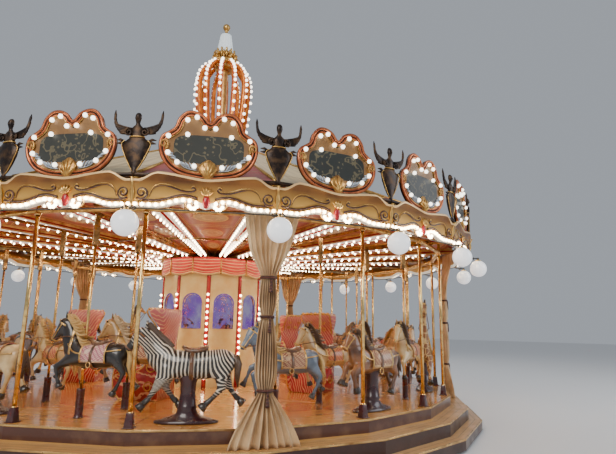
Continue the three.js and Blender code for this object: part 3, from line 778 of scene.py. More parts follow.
def cornice_point(row, i, at):
    """A point of the cornice's profile, which is given as share of its height, distance proud and part of the top wave;
    shares of -1 and 2 are the corners of its back."""
    share, proud, lift = CORNICE_PROFILE[row]
    part = (i % WAVE_STEPS) / WAVE_STEPS
    low = BOARD_LOW + 0.002 + 0.066 * low_wave(part)
    top = BOARD_TOP - 0.036 + 0.034 * top_wave(part)
    height = low + min(max(share, 0), 1) * (top - low) + 0.060 * lift * top_wave(part)
    spot = on_board(part, height, proud)
    if share in (-1, 2):
        spot = Vector((BOARD_BACK * FLAT, (part - 0.5) * 2 * BOARD_BACK * sin(SECTOR / 2), height))
    return outward((i // WAVE_STEPS + 0.5) * SECTOR) @ spot


circles = [(1, Matrix())] * len(CORNICE_PROFILE)
cornice = loft(bmesh.new(), circles, SECTORS * WAVE_STEPS, ring=True, shape=cornice_point)
board_gold = Paint("antique_gold_painted_shade", Metallic=0.55, Coat_Weight=0.2)
turn, radius, z = round_turn(board_gold)
near = 0.5 - abs(turn.repeated(SECTOR) / SECTOR - 0.5)
low = board_gold.ramp(near, 0.14, 0.56, "SMOOTHSTEP")
height = z - 0.068 * (pi * low).maths("SINE")
sunk = board_gold.ramp(near, 0.15, 0.52, "SMOOTHSTEP")
peak = board_gold.ramp(near, 0.04, 0.17, "SMOOTHSTEP") * (1 - 0.65 * sunk)
smoky = board_gold.ramp(board_gold.noise(2.2, 5), 0.3, 0.7)
# Painted light and shade: the gold goes from dark brown at the top to bright gold lower down, as if lit from below.
painted_light_below = board_gold.ramp(z, 3.16, 3.00)
gold = board_gold.mix(smoky, (0.36, 0.15, 0.034), (0.12, 0.042, 0.012))
gold = board_gold.mix(painted_light_below, gold, (0.78, 0.44, 0.10))
lit = height < 2.918
rimmed = z > 3.136 + 0.092 * peak
gold = board_gold.mix(rimmed, gold, (0.95, 0.62, 0.28))
board_gold.set(Base_Color=board_gold.mix(lit, gold, (0.95, 0.92, 0.80)))
board_gold.set(Roughness=0.30 + 0.2 * smoky, Emission_Color=board_gold.mix(lit, (0, 0, 0), (0.62, 0.55, 0.42)))
board_gold.set(Emission_Strength=0.8)
board_gold.bump(board_gold.noise(28, 4), 0.0015)
walnut = worn_paint(
    "walnut_gloss", (12, 4), (0.10, 0.028, 0.012), (0.035, 0.012, 0.008), (60, 2, 0.0006), Coat_Weight=0.5,
    Roughness=0.3
)
middles = around(SECTORS, part=0.5)


def arch_line(first, last, lift, proud, steps=18):
    """A line along the lit lower edge of the cornice."""
    line = []
    for i in range(steps + 1):
        part = first + (last - first) * i / steps
        height = BOARD_LOW + 0.052 + 0.072 * low_wave(part) + lift
        line.append(on_board(part, height, proud))
    return line


def volute(count, start, sweep, radius, shrink, place):
    """Points that wind inwards from a start angle through a sweep in degrees, each put in place by its distance right
    and up from the hub and its share of the way."""
    line = []
    for i in range(count):
        share = i / (count - 1)
        angle = radians(start + sweep * share)
        reach = radius * (1 - shrink * share)
        line.append(Vector(place(reach * cos(angle), reach * sin(angle), share)))
    return line


def board_volute(part, height, start, radius, spin, proud):
    """A volute of one and a half turns on the cornice."""
    hub = on_board(part, height, proud)
    return volute(
        16, start, spin * 540, radius, 0.82, lambda right, up, share: hub + Vector((0.002 * share, right, up))
    )


def leaf(root, tip, rise, sizes, part=0.5):
    """A pointed leaf or feather with a bend on its way."""
    return moulding([root, root.lerp(tip, part) + Vector(rise), tip], sizes)


for mirror_side in (0, 1):
    flip = (lambda part: 1 - part) if mirror_side else (lambda part: part)
    spin = -1 if mirror_side else 1
    for lift, proud, thick, shade in ((0, 0.006, 0.0110, 1), (0.024, 0.006, 0.0120, 2), (0.042, 0.004, 0.0060, 1)):
        line = arch_line(flip(0.070), flip(0.440), lift, proud)
        place_copies(cornice, moulding(line, thick), middles, shade)
    for lift, thick, shade in ((0, 0.0095, 1), (0.016, 0.006, 2)):
        curl = board_volute(flip(0.385), 2.925 + lift * 0.4, 120 if mirror_side else 60, 0.070 - lift, -spin, 0.010)
        place_copies(cornice, moulding(curl, [thick, thick * 0.5]), middles, shade)
    for grow, thick, shade in ((0.076, 0.012, 2), (0.058, 0.008, 1)):
        curl = board_volute(flip(0.062), 3.020, -50 if mirror_side else 230, grow, spin, 0.012)
        place_copies(cornice, moulding(curl, [thick, thick * 0.6]), middles, shade)
    for lift, shade, thick in ((0.0, 2, 0.010), (0.020, 1, 0.007)):
        sweep = smooth_line([on_board(flip(part), height + lift, 0.007) for part, height in (
            (0.115, 2.985), (0.135, 3.060), (0.185, 3.105), (0.260, 3.095), (0.330, 3.060), (0.395, 3.055),
            (0.425, 3.080),
            (0.412, 3.100), (0.395, 3.090)
        )], 2)
        place_copies(cornice, moulding(sweep, [0.004, thick, thick, thick * 0.5]), middles, shade)
drop_place = Matrix.Translation(on_board(0.5, 2.955, 0.010)) @ Matrix.Diagonal((0.030, 0.042, 0.075, 1))
place_copies(cornice, ball(12, 8, 1, drop_place), middles, 3)
for lean in (-50, -25, 0, 25, 50):
    start = on_board(0.5, 3.015, 0.008)
    tip = start + Vector((0.022, 0.105 * sin(radians(lean)), 0.105 * cos(radians(lean))))
    place_copies(cornice, leaf(start, tip, (0.014, 0, 0), [0.012, 0.020, 0.004]), middles, 1)
edge = around(SECTORS)
stalk = [Vector((board_out(height) + proud, 0, height)) for height, proud in (
    (2.880, -0.002), (2.905, 0.012), (2.950, 0.004), (3.030, 0.010), (3.110, 0.000), (3.180, 0.002)
)]
place_copies(cornice, moulding(stalk, [0.006, 0.026, 0.014, 0.030, 0.012, 0.020], 8), edge, 1)
for k in range(-3, 4):
    root = Vector((board_out(2.93) - 0.004 * abs(k), 0.032 * k, 2.930))
    tip = Vector((board_out(2.85) - 0.004 * abs(k), 0.040 * k, 2.848 + 0.008 * abs(k)))
    place_copies(cornice, leaf(root, tip, (0.012, 0, 0), [0.008, 0.017, 0.003], 0.4), edge, 1)
band_bulbs = []
BAND_BULBS = 22
for k in range(BAND_BULBS):
    part = (k + 0.5) / BAND_BULBS
    if abs(part - 0.5) > 0.035:
        band_bulbs.append(Matrix.Translation(on_board(part, BOARD_LOW + 0.026 + 0.068 * low_wave(part), 0.002)))
for side in (-1, 1):
    for k in range(4):
        bend = radians(200 + 45 * k) if side < 0 else radians(-20 - 45 * k)
        hub = on_board(0.5 + side * 0.088, 2.915, 0.012)
        band_bulbs.append(Matrix.Translation(hub + Vector((0, 0.044 * cos(bend), 0.044 * sin(bend)))))
place_copies(cornice, bulb_unit(0.021, cap=False), [side @ spot for side in middles for spot in band_bulbs], 4)
finish_piece(
    "cornice", cornice, [board_gold, gilt, walnut, red_gloss, lamp_white], "turntable",
    replaces=["rounding_boards"],
)

# Globe lamps: opal glass globes on brass galleries, hung in front of the corners from curled iron brackets on the feed
# conduit.
globes = bmesh.new()
GLOBE_CIRCLE = 5.105
GLOBE_HEIGHT = 2.660
LAMP_RING = 4.922
conduit = [
    outward(i * SECTOR / 2) @ Vector((LAMP_RING * (1 if i % 2 == 0 else FLAT), 0, 2.8605)) for i in range(2 * SECTORS)
]
place_copies(globes, moulding(conduit, 0.0085, 8, closed=True), HERE, 1)
hung = around(SECTORS, GLOBE_CIRCLE)
place_copies(globes, ball(26, 16, 0.1395, Matrix.Translation((0, 0, GLOBE_HEIGHT))), hung, 0)
gallery = turned([
    (0.0, 2.7860), (0.052, 2.7860), (0.056, 2.7900), (0.050, 2.8010), (0.026, 2.8070), (0.020, 2.8180), (0.012, 2.8320),
    (0.0, 2.8340),
], 12, closed=False)
place_copies(globes, gallery, hung, 2)
arm = smooth_line([
    (4.926 - GLOBE_CIRCLE, 0, 2.852), (-0.110, 0, 2.843), (-0.030, 0, 2.838), (0.004, 0, 2.846), (0.014, 0, 2.834),
    (0.006, 0, 2.822),
], 5)
place_copies(globes, moulding(arm, [0.010, 0.008, 0.005], 6), hung, 1)
for side in (-1, 1):
    curl = volute(22, 0, 468, 0.034, 0.75, lambda right, up, share: (-0.070, side * (0.050 - right), 2.832 + up * 0.8))
    place_copies(globes, moulding(curl, [0.006, 0.004]), hung, 1)
opal = worn_paint(
    "opal_glass", (5, 3), (0.95, 0.95, 0.96), (0.86, 0.88, 0.90), (14, 2, 0.0005), Roughness=0.18, Coat_Weight=0.5,
    Emission_Color=(0.95, 0.97, 1.0), Emission_Strength=0.75,
)
finish_piece("opal_globes", globes, [opal, iron, brass], "turntable", replaces=["globe_lamps"])

# Crest: on the cornice stand lobed cartouches of moulded board with a dark painted field, framed in copper and set
# with big clear bulbs, and between them winged terms in dark bronze, edged in gilt.
crest = bmesh.new()
CREST_FACE = (4.995 - 0.028) * FLAT
CREST_HEIGHT = 3.606
half = [
    (0.0, -0.402), (0.20, -0.388), (0.38, -0.325), (0.500, -0.200), (0.545, -0.050), (0.520, 0.075), (0.440, 0.135),
    (0.385, 0.185), (0.350, 0.290), (0.270, 0.375), (0.170, 0.388), (0.070, 0.345),
]
right = [(0.0, y, z) for y, z in half]
left = [(0.0, -y, z) for y, z in half[1:]]
lobed = smooth_line(right + [(0.0, 0.0, 0.262)] + left[::-1], 3, closed=True)
spots = around(SECTORS, CREST_FACE, CREST_HEIGHT, part=0.5)


def inset_line(line, amount, out):
    """The closed outline moved inwards in its own plane."""
    moved = []
    for i, point in enumerate(line):
        along = (line[(i + 1) % len(line)] - line[i - 1]).normalized()
        moved.append(point + Vector((out, -along.z * amount, along.y * amount)))
    return moved


def lofted(stations, sides):
    """A solid through ellipses given as height, half depth, half width and distance outwards."""
    unit = loft(bmesh.new(), [
        (1, Matrix.Translation((out, 0, height)) @ Matrix.Diagonal((deep, wide, 1, 1)))
        for height, deep, wide, out in stations
    ], sides)
    bmesh.ops.recalc_face_normals(unit, faces=unit.faces)
    return unit


plate = bmesh.new()
rim = [plate.verts.new(point + Vector((-0.026, 0, 0))) for point in inset_line(lobed, 0.004, 0)]
back = plate.faces.new(rim)
front = bmesh.ops.extrude_face_region(plate, geom=[back])
bmesh.ops.translate(plate, vec=(0.036, 0, 0), verts=raised_verts(front))
raised = [face for face in front["geom"] if isinstance(face, bmesh.types.BMFace)]
for face in plate.faces:
    face.material_index = 0
bmesh.ops.inset_region(plate, faces=raised, thickness=0.070, depth=-0.012, use_even_offset=True)
for face in raised:
    face.material_index = 4
bmesh.ops.triangulate(plate, faces=[face for face in plate.faces if len(face.verts) > 4])
place_copies(crest, plate, spots)
for inset, out, thick, sides, shade in (
    (0.017, 0.012, 0.019, 6, 2), (0.041, 0.014, 0.008, 4, 0), (0.057, 0.014, 0.012, 5, 2), (0.074, 0.010, 0.005, 4, 1)
):
    place_copies(crest, moulding(inset_line(lobed, inset, out), thick, sides, closed=True), spots, shade)
lamp_spots = []
for y, z in (
    (0.15, 0.310), (0.25, 0.270), (0.06, 0.190), (0.24, 0.100), (0.445, 0.070), (0.440, -0.120), (0.335, -0.225),
    (0.15, -0.260)
):
    for side in (-1, 1):
        lamp_spots.append(Matrix.Translation((0.004, side * y, z)))
place_copies(crest, bulb_unit(0.029, cap=False), [spot @ lamp for spot in spots for lamp in lamp_spots], 5)
pointed = lofted([
    (-0.430, 0.004, 0.006, 0.026), (-0.390, 0.014, 0.044, 0.026), (-0.330, 0.020, 0.088, 0.022),
    (-0.270, 0.022, 0.106, 0.016), (-0.215, 0.018, 0.076, 0.008), (-0.175, 0.010, 0.022, 0.004),
], 10)
place_copies(crest, pointed, spots, 6)
for lean in (-62, -32, 0, 32, 62):
    start = Vector((0.026, 0, -0.400))
    tip = Vector((0.030, 0.110 * sin(radians(lean)), -0.385 + 0.200 * cos(radians(lean))))
    place_copies(crest, leaf(start, tip, (0.020, 0, 0), [0.010, 0.013, 0.003]), spots, 1)
for side in (-1, 1):
    curl = volute(15, -60, 532, 0.052, 0.77, lambda right, up, share: (0.016, side * (0.490 - right), up - 0.020))
    place_copies(crest, moulding(curl, [0.016, 0.014, 0.008], 6), spots, 6)
    for k in range(9):
        root = Vector((0.006, side * (0.130 + 0.032 * k), -0.300 + 0.0028 * k * k))
        lean = radians(20 + 9 * k)
        tip = root + Vector((0.016, side * 0.088 * sin(lean), 0.088 * cos(lean)))
        place_copies(crest, leaf(root, tip, (0.008, 0, 0.006), [0.007, 0.013, 0.003]), spots, 3)
    stem = smooth_line([(0.008, side * 0.120, -0.300), (0.010, side * 0.260, -0.270), (0.010, side * 0.400, -0.130)], 3)
    place_copies(crest, moulding(stem, 0.006, 5), spots, 3)

terms = around(SECTORS, 4.963)
body = lofted([
    (3.206, 0.012, 0.016, 0.020), (3.235, 0.022, 0.030, 0.018), (3.255, 0.016, 0.024, 0.016),
    (3.300, 0.026, 0.056, 0.008),
    (3.380, 0.032, 0.098, 0.002), (3.470, 0.038, 0.138, 0.000), (3.560, 0.042, 0.160, 0.000),
    (3.600, 0.034, 0.122, 0.000),
    (3.635, 0.030, 0.080, 0.000), (3.690, 0.034, 0.072, 0.002), (3.750, 0.032, 0.060, 0.004),
    (3.780, 0.020, 0.030, 0.002),
    (3.800, 0.018, 0.022, 0.006), (3.820, 0.024, 0.026, 0.010), (3.855, 0.034, 0.036, 0.012),
    (3.892, 0.032, 0.034, 0.008),
    (3.915, 0.020, 0.022, 0.004), (3.924, 0.006, 0.008, 0.002),
], 12)
place_copies(crest, body, terms, 0)
nose = lofted([(3.842, 0.006, 0.008, 0.047), (3.866, 0.003, 0.004, 0.045)], 6)
place_copies(crest, nose, terms, 0)
for side in (-1, 1):
    for k in range(5):
        lean = radians(52 + 9 * k)
        root = Vector((-0.006, side * 0.040, 3.742 - 0.014 * k))
        reach = 0.245 - 0.030 * k
        middle = root + Vector((0.010, side * reach * sin(lean), reach * 0.30 * cos(lean)))
        tip = root + Vector((-0.004, side * (reach * sin(lean) + 0.030), 0.215 - 0.050 * k))
        place_copies(crest, moulding(smooth_line([root, middle, tip], 3), [0.010, 0.017, 0.016, 0.004], 5), terms, 0)
    edging = moulding(smooth_line([
        (0.026, side * 0.120, 3.598), (0.020, side * 0.158, 3.560), (0.022, side * 0.132, 3.470),
        (0.020, side * 0.092, 3.380),
        (0.018, side * 0.050, 3.300), (0.020, side * 0.020, 3.255),
    ], 2), 0.0065, 4)
    place_copies(crest, edging, terms, 1)
    curl = volute(14, 80, 520, 0.046, 0.78, lambda right, up, share: (0.030, side * (0.088 - right), 3.690 + up))
    place_copies(crest, moulding(curl, [0.012, 0.010, 0.006], 6), terms, 0)
    for rise in (0.020, -0.020):
        root = Vector((0.010, side * 0.130, 3.590))
        tip = Vector((0.006, side * 0.215, 3.585 + rise))
        place_copies(crest, leaf(root, tip, (0.008, 0, rise * 0.5), [0.012, 0.017, 0.004]), terms, 0)
band = [Vector((0.036 * cos(a) + 0.002, 0.080 * sin(a), 3.640)) for a in [2 * pi * i / 20 for i in range(20)]]
place_copies(crest, moulding(band, 0.008, 6, closed=True), terms, 1)
sector_strip(crest, 4.995, 3.2004, 3.2400, 0.060, shade=0)

bronze = worn_paint(
    "dark_bronze", (12, 5, 0.45, 0.75), (0.024, 0.015, 0.012), (0.13, 0.070, 0.032), (45, 3, 0.0015), (0.34, 0.2),
    Metallic=0.6,
)
copper = worn_paint(
    "copper_moulding", (9, 4, 0.35, 0.7), (0.66, 0.21, 0.085), (0.30, 0.075, 0.034), (50, 2, 0.0008), (0.25, 0.25),
    Metallic=0.85,
)
picture = Paint("cartouche_board", Roughness=0.48, Coat_Weight=0.1)
turn, radius, z = round_turn(picture)
across = abs((turn.repeated(SECTOR) - SECTOR / 2) * radius)
up = z - CREST_HEIGHT
wide = (across / 0.385) * (across / 0.385)
tall = ((up + 0.055) / 0.165) * ((up + 0.055) / 0.165)
field = (wide * wide + tall * tall).root()
mottled = picture.noise(6, 4)
gilded = picture.mix(mottled, (0.15, 0.066, 0.016), (0.30, 0.15, 0.040))
dusk = picture.mix(mottled, (0.006, 0.011, 0.009), (0.022, 0.022, 0.014))
bough = abs(picture.noise(4.5, 2) - 0.5) < 0.014
leafy = picture.node("TexVoronoi", {}, Scale=22.0, Vector=picture.place()) < 0.34
motif = bough.maths("MAXIMUM", leafy * (mottled > 0.52))
dusk = picture.mix(motif, dusk, (0.11, 0.090, 0.045))
picture.set(Base_Color=picture.mix(field < 1.0, gilded, dusk))
picture.bump(field < 1.0, 0.003)
clear_bulb = Paint("clear_bulb", Base_Color=(1.0, 0.97, 0.88), Roughness=0.12, Coat_Weight=0.6)
clear_bulb.set(Emission_Color=(1.0, 0.94, 0.80), Emission_Strength=4.0)
silver = worn_paint(
    "silver_leaf", (20, 3), (0.62, 0.70, 0.76), (0.34, 0.40, 0.48), (60, 2, 0.0008), Roughness=0.3, Metallic=0.3
)
old_gold = worn_paint(
    "old_gold", (16, 4, 0.35, 0.7), (0.62, 0.35, 0.10), (0.26, 0.115, 0.035), (50, 2, 0.0008), (0.28, 0.2), Metallic=0.8
)
finish_piece(
    "crest_figures", crest, [bronze, gilt, copper, silver, picture, clear_bulb, old_gold], "turntable",
    replaces=["crest"],
)

# Curtains: lengths of beige satin gathered on a hook ring behind the cornice, drawn in by three dark ties and let out
# to a wide hem on the upper step.
CURTAIN_CENTRE = 4.680
PLEATS = 8
PLEAT_STEPS = 12
CURTAIN_STATIONS = [
    (0.3625, 0.418, 0.066, 0.030), (0.450, 0.388, 0.066, 0.030), (0.620, 0.300, 0.064, 0.024),
    (0.800, 0.178, 0.060, 0.012),
    (0.905, 0.100, 0.056, 0.002), (0.950, 0.082, 0.052, 0.0), (0.990, 0.096, 0.056, 0.0), (1.120, 0.128, 0.074, 0.0),
    (1.350, 0.128, 0.082, 0.0), (1.560, 0.112, 0.074, 0.0), (1.700, 0.082, 0.062, 0.0), (1.740, 0.070, 0.054, 0.0),
    (1.780, 0.082, 0.062, 0.0), (1.880, 0.108, 0.078, 0.0), (2.000, 0.108, 0.078, 0.0), (2.120, 0.096, 0.066, 0.0),
    (2.180, 0.086, 0.058, 0.0), (2.240, 0.108, 0.058, 0.001), (2.360, 0.175, 0.050, 0.003),
    (2.480, 0.232, 0.044, 0.005),
    (2.640, 0.275, 0.040, 0.030), (2.860, 0.325, 0.038, 0.068), (3.020, 0.360, 0.036, 0.095),
    (3.126, 0.378, 0.036, 0.104),
]
TIES = (0.950, 1.740, 2.180)
satin = Paint("beige_satin", Sheen_Weight=0.25)
x, y, z = satin.axes()
weave = satin.node("TexNoise", {}, Vector=satin.node("CombineXYZ", {}, x * 260, y * 260, z * 9), Scale=1.0, Detail=2.0)
shade = satin.ramp(satin.noise(3.2, 5), 0.3, 0.7)
satin.set(Base_Color=satin.mix(shade, (0.80, 0.58, 0.33), (0.46, 0.27, 0.12)), Roughness=0.32 + 0.15 * weave)
satin.bump(weave, 0.0008)
cord = Paint("dark_tie", Roughness=0.5)
x, y, z = cord.axes()
twist = (z * 180 + cord.noise(60, 2) * 4).maths("SINE")
cord.set(Base_Color=cord.mix(0.5 + 0.5 * twist, (0.12, 0.035, 0.02), (0.035, 0.012, 0.010)))
cord.bump(twist, 0.002)
HEIGHTS = 56
for bay in range(BAYS):
    place = outward(bay * BAY)
    columns = PLEATS * PLEAT_STEPS
    low, high = CURTAIN_STATIONS[0][0], CURTAIN_STATIONS[-1][0]
    cloth = bmesh.new()
    bmesh.ops.create_grid(cloth, x_segments=columns, y_segments=HEIGHTS, size=0.5)
    lines = smooth_line([(z, wide, deep) for z, wide, deep, out in CURTAIN_STATIONS], 6)
    outs = smooth_line([(z, out, 0) for z, wide, deep, out in CURTAIN_STATIONS], 6)
    for vert in cloth.verts:
        across = vert.co.x + 0.5
        height = low + (vert.co.y + 0.5) * (high - low)
        spot = next((i for i in range(1, len(lines)) if lines[i].x >= height), len(lines) - 1)
        span = lines[spot].x - lines[spot - 1].x
        part = min(max((height - lines[spot - 1].x) / span, 0), 1) if span else 0
        wide = lines[spot - 1].y + part * (lines[spot].y - lines[spot - 1].y)
        deep = lines[spot - 1].z + part * (lines[spot].z - lines[spot - 1].z)
        out = outs[spot - 1].y + part * (outs[spot].y - outs[spot - 1].y)
        wander = 0.34 * sin(7.3 * across + 1.9 * height + bay) + 0.20 * sin(17 * across - 2.9 * height)
        fold = 2 * pi * PLEATS * across + wander * 3
        edge = 2 * across - 1
        oval = max(0.06, 1 - edge * edge) ** 0.5
        snug = 0.80 + 0.16 * sin(4.1 * height + 13 * across + bay)
        vert.co = (
            CURTAIN_CENTRE + out + deep * snug * oval * sin(fold) * 0.96, wide * (edge + 0.020 * cos(fold)) * 0.97,
            height
        )
    bmesh.ops.transform(cloth, matrix=place, verts=cloth.verts)
    area = sum(face.calc_area() for face in cloth.faces)
    length = high - low
    name = f"curtain_cloth_{bay + 1}"
    hung = finish_piece(name, cloth, [satin], "turntable", replaces=[f"curtain_{bay + 1}"])
    thick = hung.modifiers.new("thickness", "SOLIDIFY")
    thick.thickness = 0.0012
    thick.offset = 0
    round(area / length, 3)

ties = bmesh.new()
for height in TIES:
    station = next(s for s in CURTAIN_STATIONS if s[0] == height)
    for lift, grow, thick in ((0.010, 0.004, 0.0085), (-0.008, 0.004, 0.0085), (0.001, 0.009, 0.0070)):
        ring = []
        for k in range(20):
            bend = 2 * pi * k / 20
            ring.append(Vector((
                CURTAIN_CENTRE + station[3] + (station[2] + grow) * cos(bend), (station[1] + grow) * sin(bend),
                height + lift
            )))
        place_copies(ties, moulding(ring, thick, closed=True), around(BAYS))
    tassel = lofted([
        (height - 0.170, 0.017, 0.022, 0.0), (height - 0.150, 0.016, 0.021, 0.0), (height - 0.075, 0.012, 0.015, 0.0),
        (height - 0.062, 0.009, 0.010, 0.0), (height - 0.040, 0.014, 0.015, 0.0), (height - 0.018, 0.010, 0.011, 0.0),
        (height - 0.004, 0.005, 0.005, 0.0),
    ], 12)
    reach = CURTAIN_CENTRE + station[3] + station[2] + 0.016
    place_copies(ties, tassel, [place @ Matrix.Translation((0, 0.014, 0)) for place in around(BAYS, reach)])
finish_piece("curtain_ties", ties, [cord], "turntable")

# Roof: a cone of tongued board segments covered with cream sheet, a battened seam over every sweep and lapped rings,
# streaked by weather towards the eaves.
roof_sheet = Paint("roof_sheet", Roughness=0.55, Metallic=0.2)
turn, radius, z = round_turn(roof_sheet)
side = abs(turn.repeated(SECTOR) - SECTOR / 2)
seam = (side * radius) > (SECTOR / 2 * radius - 0.028)
wide_band = ((turn / SECTOR).repeated(2.0)) > 1.0
laps = abs((radius / 1.045).repeated(1.0) - 0.5) > 0.488
streak = roof_sheet.noise(1.0, 5, roof_sheet.node("CombineXYZ", {}, turn * 46, radius * 0.9, 0.0))
dirt = roof_sheet.ramp(streak, 0.42, 0.75)
light = roof_sheet.mix(dirt, (0.74, 0.57, 0.30), (0.46, 0.30, 0.15))
dark = roof_sheet.mix(dirt, (0.46, 0.045, 0.035), (0.26, 0.03, 0.025))
roof_sheet.set(Base_Color=roof_sheet.mix(seam + laps, roof_sheet.mix(wide_band, light, dark), (0.30, 0.16, 0.06)))
roof_sheet.bump(seam * 1.0 + laps * 0.6, 0.006)
dress("roof", roof_sheet)

battens = bmesh.new()
ROOF_SLOPE = (5.250 - 3.242) / (4.880 - 0.560)


def roof_top(radius):
    return 3.2585 + (4.880 - radius) * ROOF_SLOPE


seam_line = [Vector((radius, 0, roof_top(radius) + 0.006)) for radius in (0.66, 1.8, 2.8, 3.8, 4.86)]
place_copies(battens, moulding(seam_line, [0.016, 0.018, 0.020], 6), around(SECTORS))
finish_piece("roof_battens", battens, [gilt], "turntable")

# Crown: twelve bowed gilt ribs on a panelled drum, each set with a row of bulbs and gathered under a cap. On it
# stands a white spire, lit from inside, on a ring of gilt volutes and with a gold ball.
RIBS = 12
crown = bmesh.new()
rib_line = smooth_line([
    (0.432, 0, 5.490), (0.470, 0, 5.780), (0.508, 0, 6.100), (0.537, 0, 6.470), (0.538, 0, 6.725), (0.504, 0, 6.922),
    (0.408, 0, 7.088), (0.250, 0, 7.235),
], 4)
places = around(RIBS, part=0.5)


def across_rib(i, line=rib_line):
    """The direction of the rib, the direction out of it and its half depth at a point."""
    run = (line[min(i + 1, len(line) - 1)] - line[max(i - 1, 0)]).normalized()
    return run, Vector((run.z, 0, -run.x)), 0.064 * (1 - 0.40 * i / (len(line) - 1))


blade_stations = []
for i, point in enumerate(rib_line):
    run, out, deep = across_rib(i)
    matrix = Matrix((
        (out.x * deep, 0, run.x, point.x), (0, 0.0415, 0, 0), (out.z * deep, 0, run.z, point.z), (0, 0, 0, 1),
    )) @ Matrix.Rotation(pi / 8, 4, "Z")
    blade_stations.append((1.06, matrix))
place_copies(crown, loft(bmesh.new(), blade_stations, 8), places, 0)
RIB_BULBS = 14
fine = smooth_line([tuple(point) for point in rib_line], 6)
rib_bulbs = []
for k in range(RIB_BULBS):
    i = int((k + 0.7) / (RIB_BULBS + 0.5) * (len(fine) - 1))
    run, out, deep = across_rib(i, fine)
    facing = Matrix(((out.x, 0, run.x, 0), (0, 1, 0, 0), (out.z, 0, run.z, 0), (0, 0, 0, 1)))
    rib_bulbs.append(Matrix.Translation(fine[i] + out * (deep - 0.012)) @ facing)
place_copies(crown, bulb_unit(0.034), [place @ spot for place in places for spot in rib_bulbs], 2)
for side in (-1, 1):
    edge_line = [point + across_rib(i)[1] * 0.045 + Vector((0, side * 0.040, 0)) for i, point in enumerate(rib_line)]
    place_copies(crown, moulding(edge_line, 0.0065, 5), places, 3)
drum = turned([
    (0.385, 5.2668), (0.606, 5.2668), (0.610, 5.2820), (0.606, 5.3060), (0.590, 5.3200), (0.566, 5.4800),
    (0.572, 5.4920),
    (0.568, 5.5140), (0.556, 5.5260), (0.385, 5.5260),
], 60)
place_copies(crown, drum, HERE, 1)
cap = turned([
    (0.090, 7.1150), (0.200, 7.1150), (0.225, 7.1500), (0.235, 7.1900), (0.270, 7.2200), (0.294, 7.2440),
    (0.296, 7.2690),
    (0.090, 7.2695),
], 40)
place_copies(crown, cap, HERE, 1)
place_copies(crown, bulb_unit(0.028), around(30, 0.574, 5.400, part=0.5), 2)
crown_gold = worn_paint(
    "crown_gold", (7, 5, 0.35, 0.7), (0.98, 0.36, 0.06), (0.60, 0.16, 0.02), (40, 3, 0.001), (0.30, 0.2), Metallic=0.7
)
finish_piece(
    "lit_crown", crown, [crown_gold, gilt, clear_bulb, red_gloss], "turntable", replaces=["roof_crown"]
)

spire = turned([
    (0.0, 7.2706), (0.288, 7.2706), (0.298, 7.2800), (0.296, 7.2960), (0.262, 7.3080), (0.180, 7.3160), (0.166, 7.3400),
    (0.160, 7.4400), (0.172, 7.4900), (0.186, 7.5100), (0.0, 7.5100),
], 40, closed=False)
for face in spire.faces:
    face.material_index = 1
shell = turned([
    (0.0, 7.5105), (0.205, 7.5105), (0.208, 7.5180), (0.196, 7.5450), (0.172, 7.6100), (0.153, 7.7000), (0.138, 7.8000),
    (0.124, 7.9000), (0.115, 7.9700), (0.090, 7.9820), (0.0, 7.9820),
], 40, closed=False)
place_copies(spire, shell, HERE, 0)
neck = turned([
    (0.0, 7.9820), (0.058, 7.9820), (0.062, 7.9920), (0.050, 8.0060), (0.036, 8.0300), (0.034, 8.0800), (0.048, 8.0960),
    (0.0, 8.0960),
], 24, closed=False)
place_copies(spire, neck, HERE, 1)
seams = around(RIBS)
seam = moulding(smooth_line([(0.203, 0, 7.522), (0.170, 0, 7.614), (0.138, 0, 7.800), (0.114, 0, 7.968)], 4), 0.008, 6)
place_copies(spire, seam, seams, 0)
for start, radius, out, height, sweep in ((-100, 0.062, 0.232, 7.372, 486), (80, 0.046, 0.222, 7.462, -486)):
    curl = volute(20, start, sweep, radius, 0.78, lambda right, up, share: (out + right, 0, height + up))
    place_copies(spire, moulding(curl, [0.014, 0.016, 0.010, 0.007], 7), places, 1)
rise = smooth_line([(0.170, 0, 7.330), (0.205, 0, 7.420), (0.200, 0, 7.520), (0.214, 0, 7.590)], 3)
place_copies(spire, moulding(rise, [0.010, 0.030, 0.024, 0.005], 6), seams, 1)
place_copies(spire, ball(20, 12, 0.080, Matrix.Translation((0, 0, 8.170))), HERE, 1)
tip = turned([(0.0, 8.2460), (0.026, 8.2460), (0.010, 8.2540), (0.005, 8.2610), (0.0, 8.2615)], 14, closed=False)
place_copies(spire, tip, HERE, 1)
spire_white = worn_paint(
    "spire_white", (6, 4), (0.90, 0.93, 0.94), (0.74, 0.80, 0.82), (50, 2, 0.0006), Roughness=0.3,
    Emission_Color=(0.80, 0.92, 1.0), Emission_Strength=0.35,
)
finish_piece("lit_spire", spire, [spire_white, gilt], "turntable", replaces=["crown_spire"])

# Jumping horses: hollow moulded figures in gloss paint, each on a brass pole through its withers. Every figure is
# lofted along its trunk and legs and rounded over, with carved locks, saddle, cloth and harness laid on it.
COAT, HAIR, HOOF, LEATHER, CLOTH, TRIM, EYE_GLASS, POLE = range(8)


def rings(work, stations, sides=12, across=0.0):
    """Lofts a closed limb through rings given as x, z, slope of its run in degrees, half height and half width."""
    circles = []
    for x, z, slope, tall, wide in stations:
        run = radians(slope)
        circles.append((1, Matrix((
            (0, -sin(run) * tall, cos(run), x), (wide, 0, 0, across), (0, cos(run) * tall, sin(run), z), (0, 0, 0, 1),
        ))))
    return loft(work, circles, sides)


